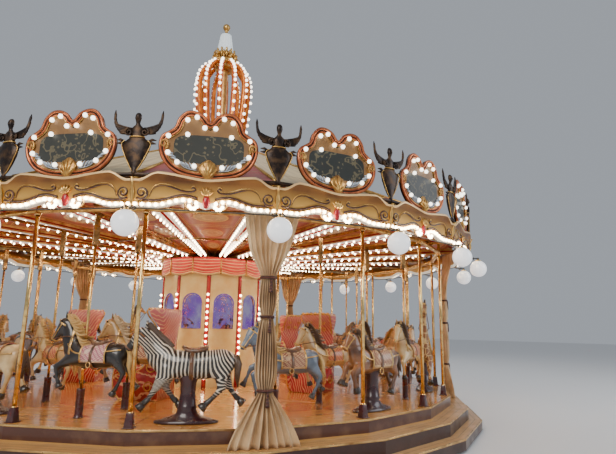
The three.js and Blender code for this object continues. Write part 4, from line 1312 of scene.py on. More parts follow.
def leg(work, across, joints, size):
    """A leg from hip or shoulder over knee and fetlock to the toe, thick above and slender below the knee."""
    hip, knee, fetlock, toe = [Vector((x, 0, z)) for x, z in joints]
    thigh = hip.lerp(knee, 0.5)
    shin = knee.lerp(fetlock, 0.3)
    ankle = knee.lerp(fetlock, 0.8)
    stations = []
    for spot, run, tall, wide in (
        (hip, knee - hip, 0.100, 0.056), (thigh, knee - hip, 0.066, 0.046), (knee, fetlock - hip, 0.042, 0.036),
        (shin, fetlock - knee, 0.030, 0.027), (ankle, fetlock - knee, 0.025, 0.023),
        (fetlock, toe - knee, 0.032, 0.028),
        (toe, toe - fetlock, 0.034, 0.031),
    ):
        slope = atan2(run.z, run.x) * 180 / pi
        stations.append((spot.x, spot.z, slope, tall * size, wide * size))
    rings(work, stations, 10, across)


def hoof(joints, across, size):
    """The flared horn of a hoof at the end of a leg."""
    fetlock, toe = [Vector((x, across, z)) for x, z in joints[-2:]]
    turn = (toe - fetlock).to_track_quat("Z", "Y").to_matrix().to_4x4()
    centre = Matrix.Translation(toe + (toe - fetlock).normalized() * 0.016 * size) @ turn
    return bevelled(cone(12, 0.032 * size, 0.046 * size, 0.055 * size, centre), 0.004, 1)


def rounded(work, voxel, turns=5):
    """Rounds rough lofts over into one skin."""
    mesh = bpy.data.meshes.new("rough")
    work.to_mesh(mesh)
    work.free()
    rough = bpy.data.objects.new("rough", mesh)
    bpy.context.scene.collection.objects.link(rough)
    skin = rough.modifiers.new("skin", "REMESH")
    skin.mode = "VOXEL"
    skin.voxel_size = voxel
    soften = rough.modifiers.new("soften", "SMOOTH")
    soften.factor = 0.5
    soften.iterations = turns
    made = bmesh.new()
    made.from_object(rough, bpy.context.evaluated_depsgraph_get())
    bpy.data.objects.remove(rough)
    bpy.data.meshes.remove(mesh)
    return made


def lock(points, thick):
    """A carved lock of hair through a few points, fat in the middle and pointed at its end."""
    circles = []
    count = len(points)
    for i, point in enumerate(points):
        run = Vector(points[min(i + 1, count - 1)]) - Vector(points[max(i - 1, 0)])
        part = i / (count - 1)
        size = thick * (0.45 + 1.9 * part - 2.2 * part * part)
        turn = run.to_track_quat("Z", "Y").to_matrix().to_4x4()
        circles.append((1, Matrix.Translation(point) @ turn @ Matrix.Diagonal((size, size * 0.7, 1, 1))))
    return loft(bmesh.new(), circles, 5)


def wrap(trunk, grow, low_x, high_x, low_z, thick):
    """A cloth or strap that lies on the trunk: a slice of a larger trunk, cut off below and given thickness."""
    unit = bmesh.new()
    stations = [(x, z, slope, tall + grow, wide + grow) for x, z, slope, tall, wide in trunk]
    rings(unit, stations, 24)
    for x, keep in ((low_x, -1), (high_x, 1)):
        bmesh.ops.bisect_plane(
            unit, geom=unit.verts[:] + unit.edges[:] + unit.faces[:], plane_co=(x, 0, 0), plane_no=(keep, 0, 0),
            clear_outer=True,
        )
    bmesh.ops.bisect_plane(
        unit, geom=unit.verts[:] + unit.edges[:] + unit.faces[:], plane_co=(0, 0, low_z), plane_no=(0, 0, -1),
        clear_outer=True,
    )
    bmesh.ops.recalc_face_normals(unit, faces=unit.faces)
    bmesh.ops.solidify(unit, geom=unit.faces[:], thickness=-thick)
    return unit


def both_sides(work, points, thick, shade):
    """A strap or cord laid along each flank, through points given for the outer side."""
    for side in (-1, 1):
        line = smooth_line([(x, side * y, z) for x, y, z in points], 2)
        place_copies(work, moulding(line, thick), HERE, shade)


def harness(work, trunk, head, size, top):
    """Collar, breast and tail straps, bridle, reins and stirrups."""
    chest = trunk[7][0]
    place_copies(work, wrap(trunk, 0.010 * size, chest - 0.050 * size, chest - 0.018 * size, -1, 0.005), HERE, TRIM)
    both_sides(work, [(x, wide * 0.98 + 0.004, z + 0.030) for x, z, a, tall, wide in trunk[4:8]], 0.010 * size, TRIM)
    both_sides(work, [(x, wide * 0.93 + 0.004, z + 0.055) for x, z, a, tall, wide in trunk[1:5]], 0.008 * size, TRIM)
    both_sides(work, [(x, wide + 0.003, z + 0.004) for x, z, a, tall, wide in head[1:-1]], 0.006 * size, TRIM)
    bit_x, bit_z, slope, tall, wide = head[-2]
    neck_x, neck_z, slope, tall, neck_wide = trunk[8]
    both_sides(work, [
        (bit_x - 0.008, wide + 0.005, bit_z), (neck_x + 0.040, neck_wide + 0.030, neck_z + 0.010),
        (neck_x - 0.080, neck_wide + 0.022, neck_z + 0.015), (0.085 * size, 0.022, top + 0.045),
    ], 0.0055 * size, LEATHER)
    flank = trunk[4][4]
    both_sides(work, [
        (-0.030, flank * 0.72, top - 0.020), (-0.022, flank + 0.010, 0.030 * size),
        (-0.010, flank + 0.014, -0.070 * size),
    ], 0.007 * size, LEATHER)
    for side in (-1, 1):
        tread = []
        for k in range(12):
            bend = 2 * pi * k / 12
            tread.append(Vector((
                0.028 * size * cos(bend) - 0.010, side * (flank + 0.015), -0.102 * size + 0.032 * size * sin(bend)
            )))
        place_copies(work, moulding(tread, 0.006 * size, 6, closed=True), HERE, TRIM)


def mane_locks(work, crest, size, reach):
    """Long locks that fall back over both sides of the neck."""
    locks = 24
    for i in range(locks):
        t = i / (locks - 1) * (len(crest) - 1)
        first = min(int(t), len(crest) - 2)
        root = crest[first].lerp(crest[first + 1], t - first)
        side = 1 if i % 2 else -1
        fall = reach * (0.85 + 0.3 * sin(i * 2.1))
        points = [
            root + Vector((0.012, -side * 0.010, -0.016)), root + Vector((-0.016, side * 0.018, 0.026)),
            root + Vector((-0.058, side * 0.054, 0.004)), root + Vector((-0.066 - fall * 0.5, side * 0.074, -fall)),
            root + Vector((-0.105 - fall * 0.9, side * (0.072 + 0.012 * sin(i)), -fall * (1.15 + 0.35 * sin(i * 1.7)))),
            root + Vector((-0.150 - fall * 0.9, side * (0.066 + 0.014 * sin(i)), -fall * (0.95 + 0.35 * sin(i * 1.7)))),
        ]
        place_copies(work, lock(smooth_line(points, 2), 0.030 * size), HERE, HAIR)


def mane_bristles(work, crest, size):
    """A short upright mane."""
    count = 30
    for i in range(count):
        t = i / (count - 1) * (len(crest) - 1)
        first = min(int(t), len(crest) - 2)
        root = crest[first].lerp(crest[first + 1], t - first)
        run = (crest[first + 1] - crest[first]).normalized()
        out = Vector((-run.z, 0, run.x))
        points = [
            root + out * rise - run * lag for rise,
            lag in ((-0.02, 0), (0, 0), (0.022, 0), (0.045, 0.006), (0.066, 0.012))
        ]
        place_copies(work, lock(points, 0.026 * size), HERE, HAIR)


def figure(trunk, head, legs, size, mane, tail, dressed=True, ears=0.075, reach=0.075):
    """The whole animal as one bmesh, with its finishes numbered from COAT to EYE_GLASS."""
    rough = bmesh.new()
    rings(rough, trunk, 14)
    rings(rough, head, 12)
    for across, joints in legs:
        leg(rough, across, joints, size)
    work = rounded(rough, 0.0225, 4)
    for face in work.faces:
        face.material_index = COAT
    for across, joints in legs:
        place_copies(work, hoof(joints, across, size), HERE, HOOF)
    poll_x, poll_z, slope, poll_tall, poll_wide = head[0]
    cheek_x, cheek_z, cheek_slope, cheek_tall, cheek_wide = head[1]
    for side in (-1, 1):
        stand = Matrix.Translation((poll_x + 0.005, side * poll_wide * 0.75, poll_z + poll_tall * 0.7 + ears * 0.35))
        lean = stand @ Matrix.Rotation(side * -0.25, 4, "X") @ Matrix.Diagonal((0.55, 1, 1, 1))
        place_copies(work, cone(8, ears * 0.34, 0.003, ears, lean), HERE, COAT)
        spot = Matrix.Translation((cheek_x + 0.022, side * cheek_wide * 0.93, cheek_z + 0.028))
        place_copies(work, ball(10, 7, 0.014, spot), HERE, EYE_GLASS)
    crest = [
        Vector((x - sin(radians(a)) * tall * 0.86, 0, z + cos(radians(a)) * tall * 0.86)) for x, z, a, tall, w in mane
    ]
    crest.append(Vector((poll_x + 0.01, 0, poll_z + poll_tall * 0.7)))
    if reach:
        mane_locks(work, crest, size, reach)
    else:
        mane_bristles(work, crest, size)
    for swing, drop in ((0.0, 1.0), (0.030, 0.86), (-0.032, 0.9), (0.014, 1.10), (-0.014, 0.8), (0.0, 0.66)):
        points = [
            Vector((x, swing * k * 0.6, tail[0][1] + (z - tail[0][1]) * (drop if k > 1 else 1))) for k,
            (x, z) in enumerate(tail)
        ]
        place_copies(work, lock(points, 0.048 * size), HERE, HAIR)
    top = trunk[4][1] + trunk[4][3]
    if dressed:
        place_copies(work, wrap(trunk, 0.008 * size, -0.21 * size, 0.12 * size, -0.075 * size, 0.006), HERE, CLOTH)
        place_copies(work, wrap(trunk, 0.015 * size, -0.215 * size, -0.195 * size, -0.08 * size, 0.004), HERE, TRIM)
        place_copies(work, wrap(trunk, 0.015 * size, 0.105 * size, 0.125 * size, -0.08 * size, 0.004), HERE, TRIM)
        harness(work, trunk, head, size, top)
    place_copies(work, wrap(trunk, 0.013 * size, -0.045 * size, -0.010 * size, -1, 0.005), HERE, LEATHER)
    seat = bmesh.new()
    rings(seat, [
        (-0.17 * size, top + 0.045, 0, 0.030, 0.070), (-0.13 * size, top + 0.030, 0, 0.042, 0.100),
        (-0.05 * size, top + 0.000, 0, 0.034, 0.092), (0.02 * size, top + 0.006, 0, 0.036, 0.078),
        (0.06 * size, top + 0.040, 20, 0.026, 0.034), (0.075 * size, top + 0.062, 50, 0.016, 0.020),
    ], 12)
    bmesh.ops.smooth_vert(seat, verts=seat.verts, factor=0.4, use_axis_x=True, use_axis_y=True, use_axis_z=True)
    place_copies(work, seat, HERE, LEATHER)
    strap = bmesh.new()
    for x, z, a, tall, wide in (head[1], head[-2]):
        band = [(x - 0.006 * cos(radians(a)), z - 0.006 * sin(radians(a)), a, tall * 1.03 + 0.003, wide * 1.03 + 0.003),
                (x + 0.010 * cos(radians(a)), z + 0.010 * sin(radians(a)), a, tall * 1.01 + 0.003, wide * 1.01 + 0.003)]
        rings(strap, band, 14)
    place_copies(work, strap, HERE, TRIM)
    return work


HORSE_TRUNK = [
    (-0.425, 0.050, 0, 0.052, 0.046), (-0.385, 0.022, 0, 0.108, 0.096), (-0.300, 0.010, 0, 0.150, 0.132),
    (-0.180, -0.004, 0, 0.146, 0.134), (-0.020, -0.016, 0, 0.138, 0.136), (0.140, -0.008, 0, 0.144, 0.130),
    (0.245, 0.020, 15, 0.152, 0.112), (0.325, 0.100, 40, 0.140, 0.084), (0.365, 0.200, 55, 0.112, 0.062),
    (0.400, 0.300, 60, 0.090, 0.052), (0.432, 0.378, 48, 0.074, 0.046),
]
HORSE_HEAD = [
    (0.412, 0.412, -50, 0.056, 0.044), (0.452, 0.366, -55, 0.084, 0.054), (0.500, 0.298, -58, 0.064, 0.045),
    (0.545, 0.230, -60, 0.046, 0.035), (0.580, 0.178, -60, 0.046, 0.036), (0.600, 0.148, -55, 0.032, 0.028),
]
HORSE_TAIL = [(-0.400, 0.085), (-0.450, 0.060), (-0.485, -0.030), (-0.480, -0.130), (-0.500, -0.235)]
GALLOP = [
    (0.072, [(0.215, -0.020), (0.470, -0.150), (0.425, -0.290), (0.405, -0.340)]),
    (-0.072, [(0.215, -0.020), (0.450, -0.070), (0.500, -0.200), (0.530, -0.250)]),
    (0.078, [(-0.290, -0.010), (-0.430, -0.190), (-0.350, -0.360), (-0.325, -0.405)]),
    (-0.078, [(-0.290, -0.010), (-0.405, -0.170), (-0.470, -0.300), (-0.505, -0.340)]),
]
ZEBRA_TRUNK = [
    (-0.530, 0.030, 0, 0.060, 0.056), (-0.485, 0.012, 0, 0.122, 0.110), (-0.390, 0.004, 0, 0.172, 0.144),
    (-0.240, -0.010, 0, 0.168, 0.148), (-0.030, -0.022, 0, 0.162, 0.150), (0.160, -0.010, 0, 0.166, 0.144),
    (0.285, 0.028, 18, 0.174, 0.122), (0.370, 0.115, 38, 0.158, 0.092), (0.430, 0.200, 48, 0.126, 0.068),
    (0.480, 0.270, 50, 0.106, 0.058), (0.525, 0.328, 40, 0.090, 0.052),
]
ZEBRA_HEAD = [
    (0.508, 0.375, -48, 0.062, 0.048), (0.560, 0.330, -50, 0.094, 0.058), (0.614, 0.272, -50, 0.072, 0.049),
    (0.664, 0.212, -50, 0.052, 0.040), (0.702, 0.168, -50, 0.050, 0.041), (0.722, 0.142, -48, 0.036, 0.032),
]
PEDESTAL_TRUNK = [
    (-0.515, 0.030, 0, 0.060, 0.054), (-0.470, 0.014, 0, 0.122, 0.108), (-0.370, 0.006, 0, 0.172, 0.142),
    (-0.230, -0.008, 0, 0.168, 0.146), (-0.030, -0.022, 0, 0.162, 0.148), (0.160, -0.010, 0, 0.168, 0.142),
    (0.270, 0.030, 20, 0.174, 0.120), (0.335, 0.115, 45, 0.154, 0.090), (0.362, 0.195, 58, 0.122, 0.068),
    (0.380, 0.260, 62, 0.104, 0.058), (0.398, 0.310, 50, 0.088, 0.052),
]
PEDESTAL_HEAD = [
    (0.375, 0.348, -48, 0.060, 0.047), (0.428, 0.308, -50, 0.092, 0.057), (0.478, 0.252, -50, 0.068, 0.047),
    (0.520, 0.200, -50, 0.048, 0.037), (0.548, 0.165, -50, 0.046, 0.038), (0.564, 0.143, -48, 0.033, 0.029),
]
STANDER_TAIL = [(-0.500, 0.095), (-0.545, 0.075), (-0.560, -0.020), (-0.556, -0.120), (-0.570, -0.230)]
STRIDE = [
    (0.080, [(0.225, -0.050), (0.350, -0.265), (0.440, -0.400), (0.490, -0.450)]),
    (-0.080, [(0.225, -0.050), (0.275, -0.270), (0.165, -0.405), (0.115, -0.450)]),
    (0.084, [(-0.370, -0.030), (-0.385, -0.275), (-0.245, -0.415), (-0.200, -0.455)]),
    (-0.084, [(-0.370, -0.030), (-0.455, -0.260), (-0.560, -0.390), (-0.600, -0.425)]),
]
BARREL = DECK_TOP + 0.690
POLE_AHEAD = 0.150
POLE_LOW = DECK_TOP + 0.165
POLE_TOP = 2.765


def riding(angle, radius, height=0.0):
    """The rider's frame: X forwards, clockwise round the ring, and Y outwards."""
    place = Matrix.Translation((radius * sin(angle), -radius * cos(angle), height))
    return place @ Matrix.Rotation(angle + pi, 4, "Z")


def kept_mesh(work, name):
    """A figure's mesh with its own carved coordinates kept as an attribute for the paint."""
    mesh = bpy.data.meshes.new(name)
    work.to_mesh(mesh)
    work.free()
    carved = mesh.attributes.new("carved", "FLOAT_VECTOR", "POINT")
    flat = [0.0] * (3 * len(mesh.vertices))
    mesh.vertices.foreach_get("co", flat)
    carved.data.foreach_set("vector", flat)
    mesh.polygons.foreach_set("use_smooth", [True] * len(mesh.polygons))
    return mesh


def place_figure(mesh, node, place, paints, body, slot):
    """A copy of a figure's mesh at its place on the ride, in its own colours."""
    copy = mesh.copy()
    copy.name = node + "_figure"
    copy.transform(place)
    for paint in paints:
        copy.materials.append(paint.material)
    made = bpy.data.objects.new(node + "_figure", copy)
    bpy.context.scene.collection.objects.link(made)
    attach(made, body)
    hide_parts(node)


def carved_place(paint):
    return paint.node("Attribute", {"attribute_name": "carved"}, out=1)


def coat_paint(name, light, dark, scale=5):
    """Gloss coat that darkens in soft clouds and towards the legs, with brush marks under the varnish."""
    paint = Paint(name, Coat_Weight=0.7, Coat_Roughness=0.08)
    where = carved_place(paint)
    x, y, z = paint.axes(where)
    cloud = paint.ramp(paint.noise(scale, 4, where), 0.35, 0.7)
    low = paint.ramp(z, -0.12, -0.34)
    paint.set(Base_Color=paint.mix(low * 0.8, paint.mix(cloud, light, dark), dark))
    paint.set(Roughness=0.24 + 0.16 * cloud)
    paint.bump(paint.noise(55, 3, where), 0.0012)
    return paint


def hair_paint(name, light, dark):
    """Carved hair in fine strands."""
    paint = Paint(name, Coat_Weight=0.5)
    where = carved_place(paint)
    x, y, z = paint.axes(where)
    strand = ((x * 1.4 + z * 0.5 + y) * 330 + 9 * paint.noise(7, 2, where)).maths("SINE")
    paint.set(Base_Color=paint.mix(0.5 + 0.5 * strand, light, dark), Roughness=0.34)
    paint.bump(strand, 0.0016)
    return paint


def cloth_paint(name, ground, motif):
    """Painted saddle cloth with roses among slanting brush strokes, and a fringe along its lower edge."""
    paint = Paint(name, Roughness=0.30, Coat_Weight=0.5)
    where = carved_place(paint)
    x, y, z = paint.axes(where)
    drift = 0.035 * paint.noise(9, 2, where)
    slanted = abs(((x * 0.6 + z + drift) / 0.026).repeated(1.0) - 0.5) < 0.23
    strokes = slanted * (((x - z + drift) / 0.060).repeated(1.0) < 0.72)
    rose = paint.node("TexVoronoi", {}, Vector=where, Scale=11.0)
    petals = (rose < 0.34) * (abs((rose * 8.0).repeated(1.0) - 0.5) < 0.36)
    fringe = (z < -0.052) * (abs((x / 0.012).repeated(1.0) - 0.5) < 0.34)
    mask = (strokes * (rose > 0.40)).maths("MAXIMUM", petals + fringe)
    paint.set(Base_Color=paint.mix(mask, ground, motif))
    paint.bump(mask, 0.0015)
    return paint


coats = {
    "black": coat_paint("black_coat", (0.030, 0.022, 0.018), (0.008, 0.007, 0.007)),
    "blue": coat_paint("blue_grey_coat", (0.19, 0.24, 0.31), (0.06, 0.08, 0.11)),
    "cream": coat_paint("cream_coat", (0.80, 0.60, 0.30), (0.50, 0.29, 0.10)),
    "white": coat_paint("white_coat", (0.88, 0.80, 0.62), (0.58, 0.44, 0.26)),
    "brown": coat_paint("brown_coat", (0.34, 0.14, 0.05), (0.09, 0.035, 0.015)),
    "dun": coat_paint("dun_coat", (0.70, 0.44, 0.16), (0.30, 0.14, 0.05)),
}
hairs = {
    "gold": hair_paint("gold_hair", (0.92, 0.62, 0.22), (0.42, 0.20, 0.05)),
    "dark": hair_paint("dark_hair", (0.16, 0.08, 0.035), (0.03, 0.016, 0.010)),
    "pale": hair_paint("pale_hair", (0.90, 0.74, 0.46), (0.42, 0.26, 0.12)),
}
cloths = {
    "rose": cloth_paint("rose_cloth", (0.52, 0.13, 0.20), (0.95, 0.74, 0.56)),
    "red": cloth_paint("red_saddle_cloth", (0.50, 0.03, 0.03), (0.90, 0.62, 0.20)),
    "blue": cloth_paint("blue_cloth", (0.08, 0.16, 0.40), (0.90, 0.70, 0.30)),
    "green": cloth_paint("green_cloth", (0.05, 0.26, 0.16), (0.90, 0.74, 0.36)),
    "brick": cloth_paint("brick_cloth", (0.30, 0.095, 0.060), (0.88, 0.62, 0.34)),
}
horn = coat_paint("horn", (0.10, 0.06, 0.04), (0.02, 0.015, 0.012), 20)
leather = coat_paint("saddle_leather", (0.20, 0.085, 0.035), (0.06, 0.025, 0.012), 14)
trim = coat_paint("harness_gold", (0.96, 0.66, 0.24), (0.55, 0.27, 0.07), 30)
trim.set(Metallic=0.8)
glass_eye = Paint("glass_eye", Base_Color=(0.015, 0.010, 0.008), Roughness=0.05, Coat_Weight=1.0)
pole_brass = worn_paint(
    "pole_brass", (9, 4, 0.35, 0.7), (0.95, 0.66, 0.26), (0.62, 0.34, 0.10), (70, 2, 0.0006), (0.16, 0.2), Metallic=1.0
)

jumper = figure(HORSE_TRUNK, HORSE_HEAD, GALLOP, 1.0, HORSE_TRUNK[6:], HORSE_TAIL)
middle = (POLE_LOW + POLE_TOP) / 2 - BARREL
pole = cone(16, 0.018, 0.018, POLE_TOP - POLE_LOW, Matrix.Translation((POLE_AHEAD, 0, middle)))
for height in (0.150, -0.158):
    cone(16, 0.036, 0.026, 0.022, Matrix.Translation((POLE_AHEAD, 0, height)), pole)
place_copies(jumper, pole, HERE, POLE)
jumper_mesh = kept_mesh(jumper, "jumper")
SETS = {
    "leading": [("black", "gold", "rose"), ("cream", "dark", "red"), ("blue", "pale", "brick"), ("dun", "dark", "blue"),
                ("white", "gold", "green")],
    "following": [("blue", "gold", "brick"), ("white", "dark", "blue"), ("dun", "pale", "red"),
                  ("black", "gold", "green"),
                  ("brown", "gold", "rose")],
    "inner": [("dun", "pale", "brick"), ("cream", "dark", "rose"), ("white", "gold", "green"), ("brown", "dark", "red"),
              ("blue", "pale", "blue")],
    "middle": [("cream", "dark", "red"), ("dun", "pale", "green"), ("brown", "gold", "rose"),
               ("white", "gold", "brick"),
               ("cream", "gold", "red")],
}
for name, sector, row, rest in JUMPERS:
    for bay in range(BAYS):
        spot = riding(bay * BAY + sector * SECTOR, row, BARREL + rest) @ Matrix.Translation((-POLE_AHEAD, 0, 0))
        coat, hair, cloth = SETS[name][bay]
        finishes = [coats[coat], hairs[hair], horn, leather, cloths[cloth], trim, glass_eye, pole_brass]
        place_figure(jumper_mesh, f"horse_{name}_{bay + 1}", spot, finishes, "jumpers_" + name, "painted_horse")

# Striding animals: zebras, giraffes and pedestal horses of the outer row, moulded in one with their carved columns and
# bolted to the deck by a spreading foot in dark red gloss paint.
STANDING_ROW = 4.130
STANDING_BARREL = DECK_TOP + 0.655
BIG = 1.27
GIRAFFE_TRUNK = [
    (-0.490, 0.060, 0, 0.060, 0.052), (-0.455, 0.030, 0, 0.120, 0.104), (-0.370, 0.010, 0, 0.168, 0.138),
    (-0.220, 0.000, 0, 0.172, 0.142), (-0.020, -0.002, 0, 0.172, 0.144), (0.170, 0.010, 5, 0.178, 0.140),
    (0.290, 0.090, 30, 0.180, 0.112), (0.345, 0.250, 60, 0.130, 0.078), (0.375, 0.420, 76, 0.090, 0.058),
    (0.392, 0.600, 80, 0.072, 0.050), (0.410, 0.770, 76, 0.064, 0.046),
]
GIRAFFE_HEAD = [
    (0.388, 0.838, -30, 0.052, 0.042), (0.440, 0.815, -30, 0.066, 0.050), (0.505, 0.770, -32, 0.054, 0.042),
    (0.570, 0.722, -32, 0.042, 0.036), (0.612, 0.694, -30, 0.040, 0.036), (0.636, 0.680, -28, 0.028, 0.026),
]


def pedestal():
    """The carved column under a standing animal, on a spreading foot."""
    return loft(bmesh.new(), [
        (1, Matrix.Translation((0, 0, height - 0.655)) @ Matrix.Diagonal((long, wide, 1, 1))) for height, long,
        wide in (
            (0.001, 0.362, 0.155), (0.022, 0.366, 0.158), (0.040, 0.300, 0.142), (0.070, 0.190, 0.118),
            (0.105, 0.128, 0.102), (0.150, 0.104, 0.094), (0.170, 0.112, 0.102), (0.190, 0.100, 0.090),
            (0.330, 0.086, 0.080), (0.440, 0.092, 0.086), (0.490, 0.112, 0.104), (0.570, 0.116, 0.108),
        )
    ], 24)


def stander(trunk, head, legs, mane, dressed, ears, reach):
    work = figure(trunk, head, legs, BIG, mane, STANDER_TAIL, dressed, ears, reach)
    place_copies(work, pedestal(), HERE, POLE)
    return work


zebra_mesh = kept_mesh(stander(ZEBRA_TRUNK, ZEBRA_HEAD, STRIDE, ZEBRA_TRUNK[6:], False, 0.095, 0), "zebra")
horse = stander(PEDESTAL_TRUNK, PEDESTAL_HEAD, GALLOP, PEDESTAL_TRUNK[6:], True, 0.085, 0.060)
horse_mesh = kept_mesh(horse, "pedestal_horse")
giraffe = stander(GIRAFFE_TRUNK, GIRAFFE_HEAD, STRIDE, GIRAFFE_TRUNK[7:], True, 0.070, 0)
for side in (-1, 1):
    spot = Matrix.Translation((0.400, side * 0.022, 0.905)) @ Matrix.Rotation(side * -0.2, 4, "X")
    place_copies(giraffe, cone(8, 0.012, 0.016, 0.075, spot), HERE, HOOF)
giraffe_mesh = kept_mesh(giraffe, "giraffe")

zebra_coat = Paint("zebra_coat", Coat_Weight=0.6, Coat_Roughness=0.08)
where = carved_place(zebra_coat)
x, y, z = zebra_coat.axes(where)
leg_part = zebra_coat.ramp(z, -0.17, -0.30)
neck_part = zebra_coat.ramp(x, 0.08, 0.30)
rump_part = zebra_coat.ramp(x, -0.20, -0.42)
below = (z + 0.15).maths("MINIMUM", 0.0)
above = (z - 0.10).maths("MAXIMUM", 0.0)
run = x * (1 - 0.7 * leg_part) + 1.5 * below - 1.1 * above * neck_part - 0.7 * z * rump_part
wavy = run + 0.030 * zebra_coat.noise(7, 2, where)
stripe = abs((wavy / 0.046).repeated(1.0) - 0.5)
soft = zebra_coat.ramp(stripe, 0.285, 0.325)
black = zebra_coat.mix(zebra_coat.noise(30, 2, where), (0.010, 0.009, 0.009), (0.035, 0.028, 0.024))
white = zebra_coat.mix(zebra_coat.noise(4, 3, where), (0.90, 0.84, 0.72), (0.66, 0.54, 0.38))
muzzle = zebra_coat.ramp(x - 0.4 * z, 0.545, 0.585)
dark_leg = zebra_coat.ramp(z, -0.30, -0.37)
both = muzzle.maths("MAXIMUM", dark_leg)
zebra_coat.set(Base_Color=zebra_coat.mix(both, zebra_coat.mix(soft, black, white), black), Roughness=0.28)
zebra_coat.bump(soft, 0.0008)

giraffe_coat = Paint("giraffe_coat", Coat_Weight=0.6, Coat_Roughness=0.08)
where = carved_place(giraffe_coat)
crazed = giraffe_coat.node("TexVoronoi", {"feature": "DISTANCE_TO_EDGE"}, Vector=where, Scale=11.0)
patch = giraffe_coat.ramp(crazed, 0.05, 0.075)
tone = giraffe_coat.noise(6, 3, where)
giraffe_coat.set(Base_Color=giraffe_coat.mix(
    patch, giraffe_coat.mix(tone, (0.90, 0.66, 0.30), (0.72, 0.44, 0.14)),
    giraffe_coat.mix(tone, (0.40, 0.16, 0.04), (0.22, 0.08, 0.025)),
), Roughness=0.3)
giraffe_coat.bump(patch, 0.0008)
maroon = coat_paint("maroon_gloss", (0.080, 0.009, 0.012), (0.028, 0.006, 0.008), 9)

for bay in range(BAYS):
    tall = bay % 2 == 1
    spot = riding(bay * BAY - 0.59 * SECTOR, STANDING_ROW, STANDING_BARREL)
    mesh = giraffe_mesh if tall else zebra_mesh
    coat = giraffe_coat if tall else zebra_coat
    finishes = [
        coat, hairs["dark"], horn, leather, cloths["red"], coats["brown"] if not tall else trim, glass_eye, maroon
    ]
    kind = "giraffe" if tall else "zebra"
    place_figure(mesh, f"{kind}_{bay + 1}", spot, finishes, "turntable", "painted_" + kind)
STANDERS = [("brown", "dark", "brick"), ("dun", "gold", "red"), ("white", "gold", "blue"), ("brown", "gold", "green"),
            ("cream", "dark", "rose")]
for bay in range(BAYS):
    spot = riding(bay * BAY + 1.38 * SECTOR, STANDING_ROW, STANDING_BARREL)
    coat, hair, cloth = STANDERS[bay]
    finishes = [coats[coat], hairs[hair], horn, leather, cloths[cloth], trim, glass_eye, maroon]
    place_figure(horse_mesh, f"pedestal_horse_{bay + 1}", spot, finishes, "turntable", "painted_pedestal_horse")
for mesh in (jumper_mesh, zebra_mesh, horse_mesh, giraffe_mesh):
    bpy.data.meshes.remove(mesh)

# Chariots: moulded shells in red gloss with curled sides rimmed in gold, a buttoned bench and a high back that flares
# into a painted hood.
CHARIOT_ROW = 2.330
SHELL, RIM, SEAT_PAD, LINING = range(4)
chariot = bmesh.new()
side_line = smooth_line([
    (-0.330, 0, 0.002), (0.200, 0, 0.002), (0.300, 0, 0.030), (0.378, 0, 0.150), (0.402, 0, 0.300), (0.380, 0, 0.440),
    (0.320, 0, 0.480), (0.262, 0, 0.425), (0.180, 0, 0.362), (0.040, 0, 0.390), (-0.080, 0, 0.470), (-0.165, 0, 0.600),
    (-0.235, 0, 0.720), (-0.330, 0, 0.725),
], 5)
for side in (-1, 1):
    wall = bmesh.new()
    face = wall.faces.new([wall.verts.new(point) for point in side_line])
    made = bmesh.ops.extrude_face_region(wall, geom=[face])
    bmesh.ops.translate(wall, vec=(0, 0.034, 0), verts=raised_verts(made))
    bmesh.ops.translate(wall, vec=(0, side * 0.252 - 0.017, 0), verts=wall.verts)
    bmesh.ops.recalc_face_normals(wall, faces=wall.faces)
    bmesh.ops.triangulate(wall, faces=[face for face in wall.faces if len(face.verts) > 4])
    place_copies(chariot, wall, HERE, SHELL)
    rim = [point + Vector((0, side * 0.258, 0)) for point in side_line[5:]]
    place_copies(chariot, moulding(rim, 0.015, 8), HERE, RIM)
    for hub_x, hub_z, start, reach, turns, spin in (
        (0.300, 0.320, 90, 0.085, 1.6, -1), (0.060, 0.215, 20, 0.110, 1.7, 1), (-0.200, 0.480, 60, 0.110, 1.5, 1),
        (-0.180, 0.190, 200, 0.090, 1.5, -1),
    ):
        curl = volute(
            22, start, spin * 360 * turns, reach, 0.8, lambda right, up,
            share: (hub_x + right, side * 0.274, hub_z + up)
        )
        place_copies(chariot, moulding(curl, [0.006, 0.011, 0.008, 0.004], 6), HERE, RIM)


def rounded_block(low, high, edge, shade, steps=3):
    block = bmesh.new()
    centre = [(a + b) / 2 for a, b in zip(low, high)]
    size = [b - a for a, b in zip(low, high)]
    bmesh.ops.create_cube(block, size=1, matrix=Matrix.Translation(centre) @ Matrix.Diagonal((*size, 1)))
    bevelled(block, edge, steps)
    place_copies(chariot, block, HERE, shade)


rounded_block((-0.300, -0.234, 0.001), (0.290, 0.234, 0.060), 0.004, SHELL)
rounded_block((-0.295, -0.233, 0.060), (0.030, 0.233, 0.345), 0.010, SHELL)
rounded_block((0.262, -0.240, 0.002), (0.300, 0.240, 0.350), 0.016, SHELL, 4)
BACK_STATIONS = [
    (0.002, -0.262, 0.246, 0.068), (0.400, -0.268, 0.246, 0.064), (0.720, -0.284, 0.250, 0.056),
    (0.900, -0.296, 0.246, 0.054),
    (0.985, -0.290, 0.240, 0.070), (1.060, -0.250, 0.254, 0.130), (1.130, -0.195, 0.272, 0.200),
    (1.200, -0.135, 0.288, 0.262),
    (1.262, -0.108, 0.296, 0.284), (1.300, -0.098, 0.292, 0.280), (1.318, -0.110, 0.270, 0.252),
]


def squared(row, i, at):
    """Presses an ellipse of the back out into a rounded rectangle."""
    height, lip, wide, deep = BACK_STATIONS[row]
    x = (at.x - (lip - deep / 2)) / (deep / 2)
    y = at.y / wide
    most = max(abs(x), abs(y))
    grow = min(1.0 / most, 1.22) if most > 0.72 else 1.2
    return (lip - deep / 2) + max(-1, min(1, x * grow)) * deep / 2, max(-1, min(1, y * grow)) * wide, at.z


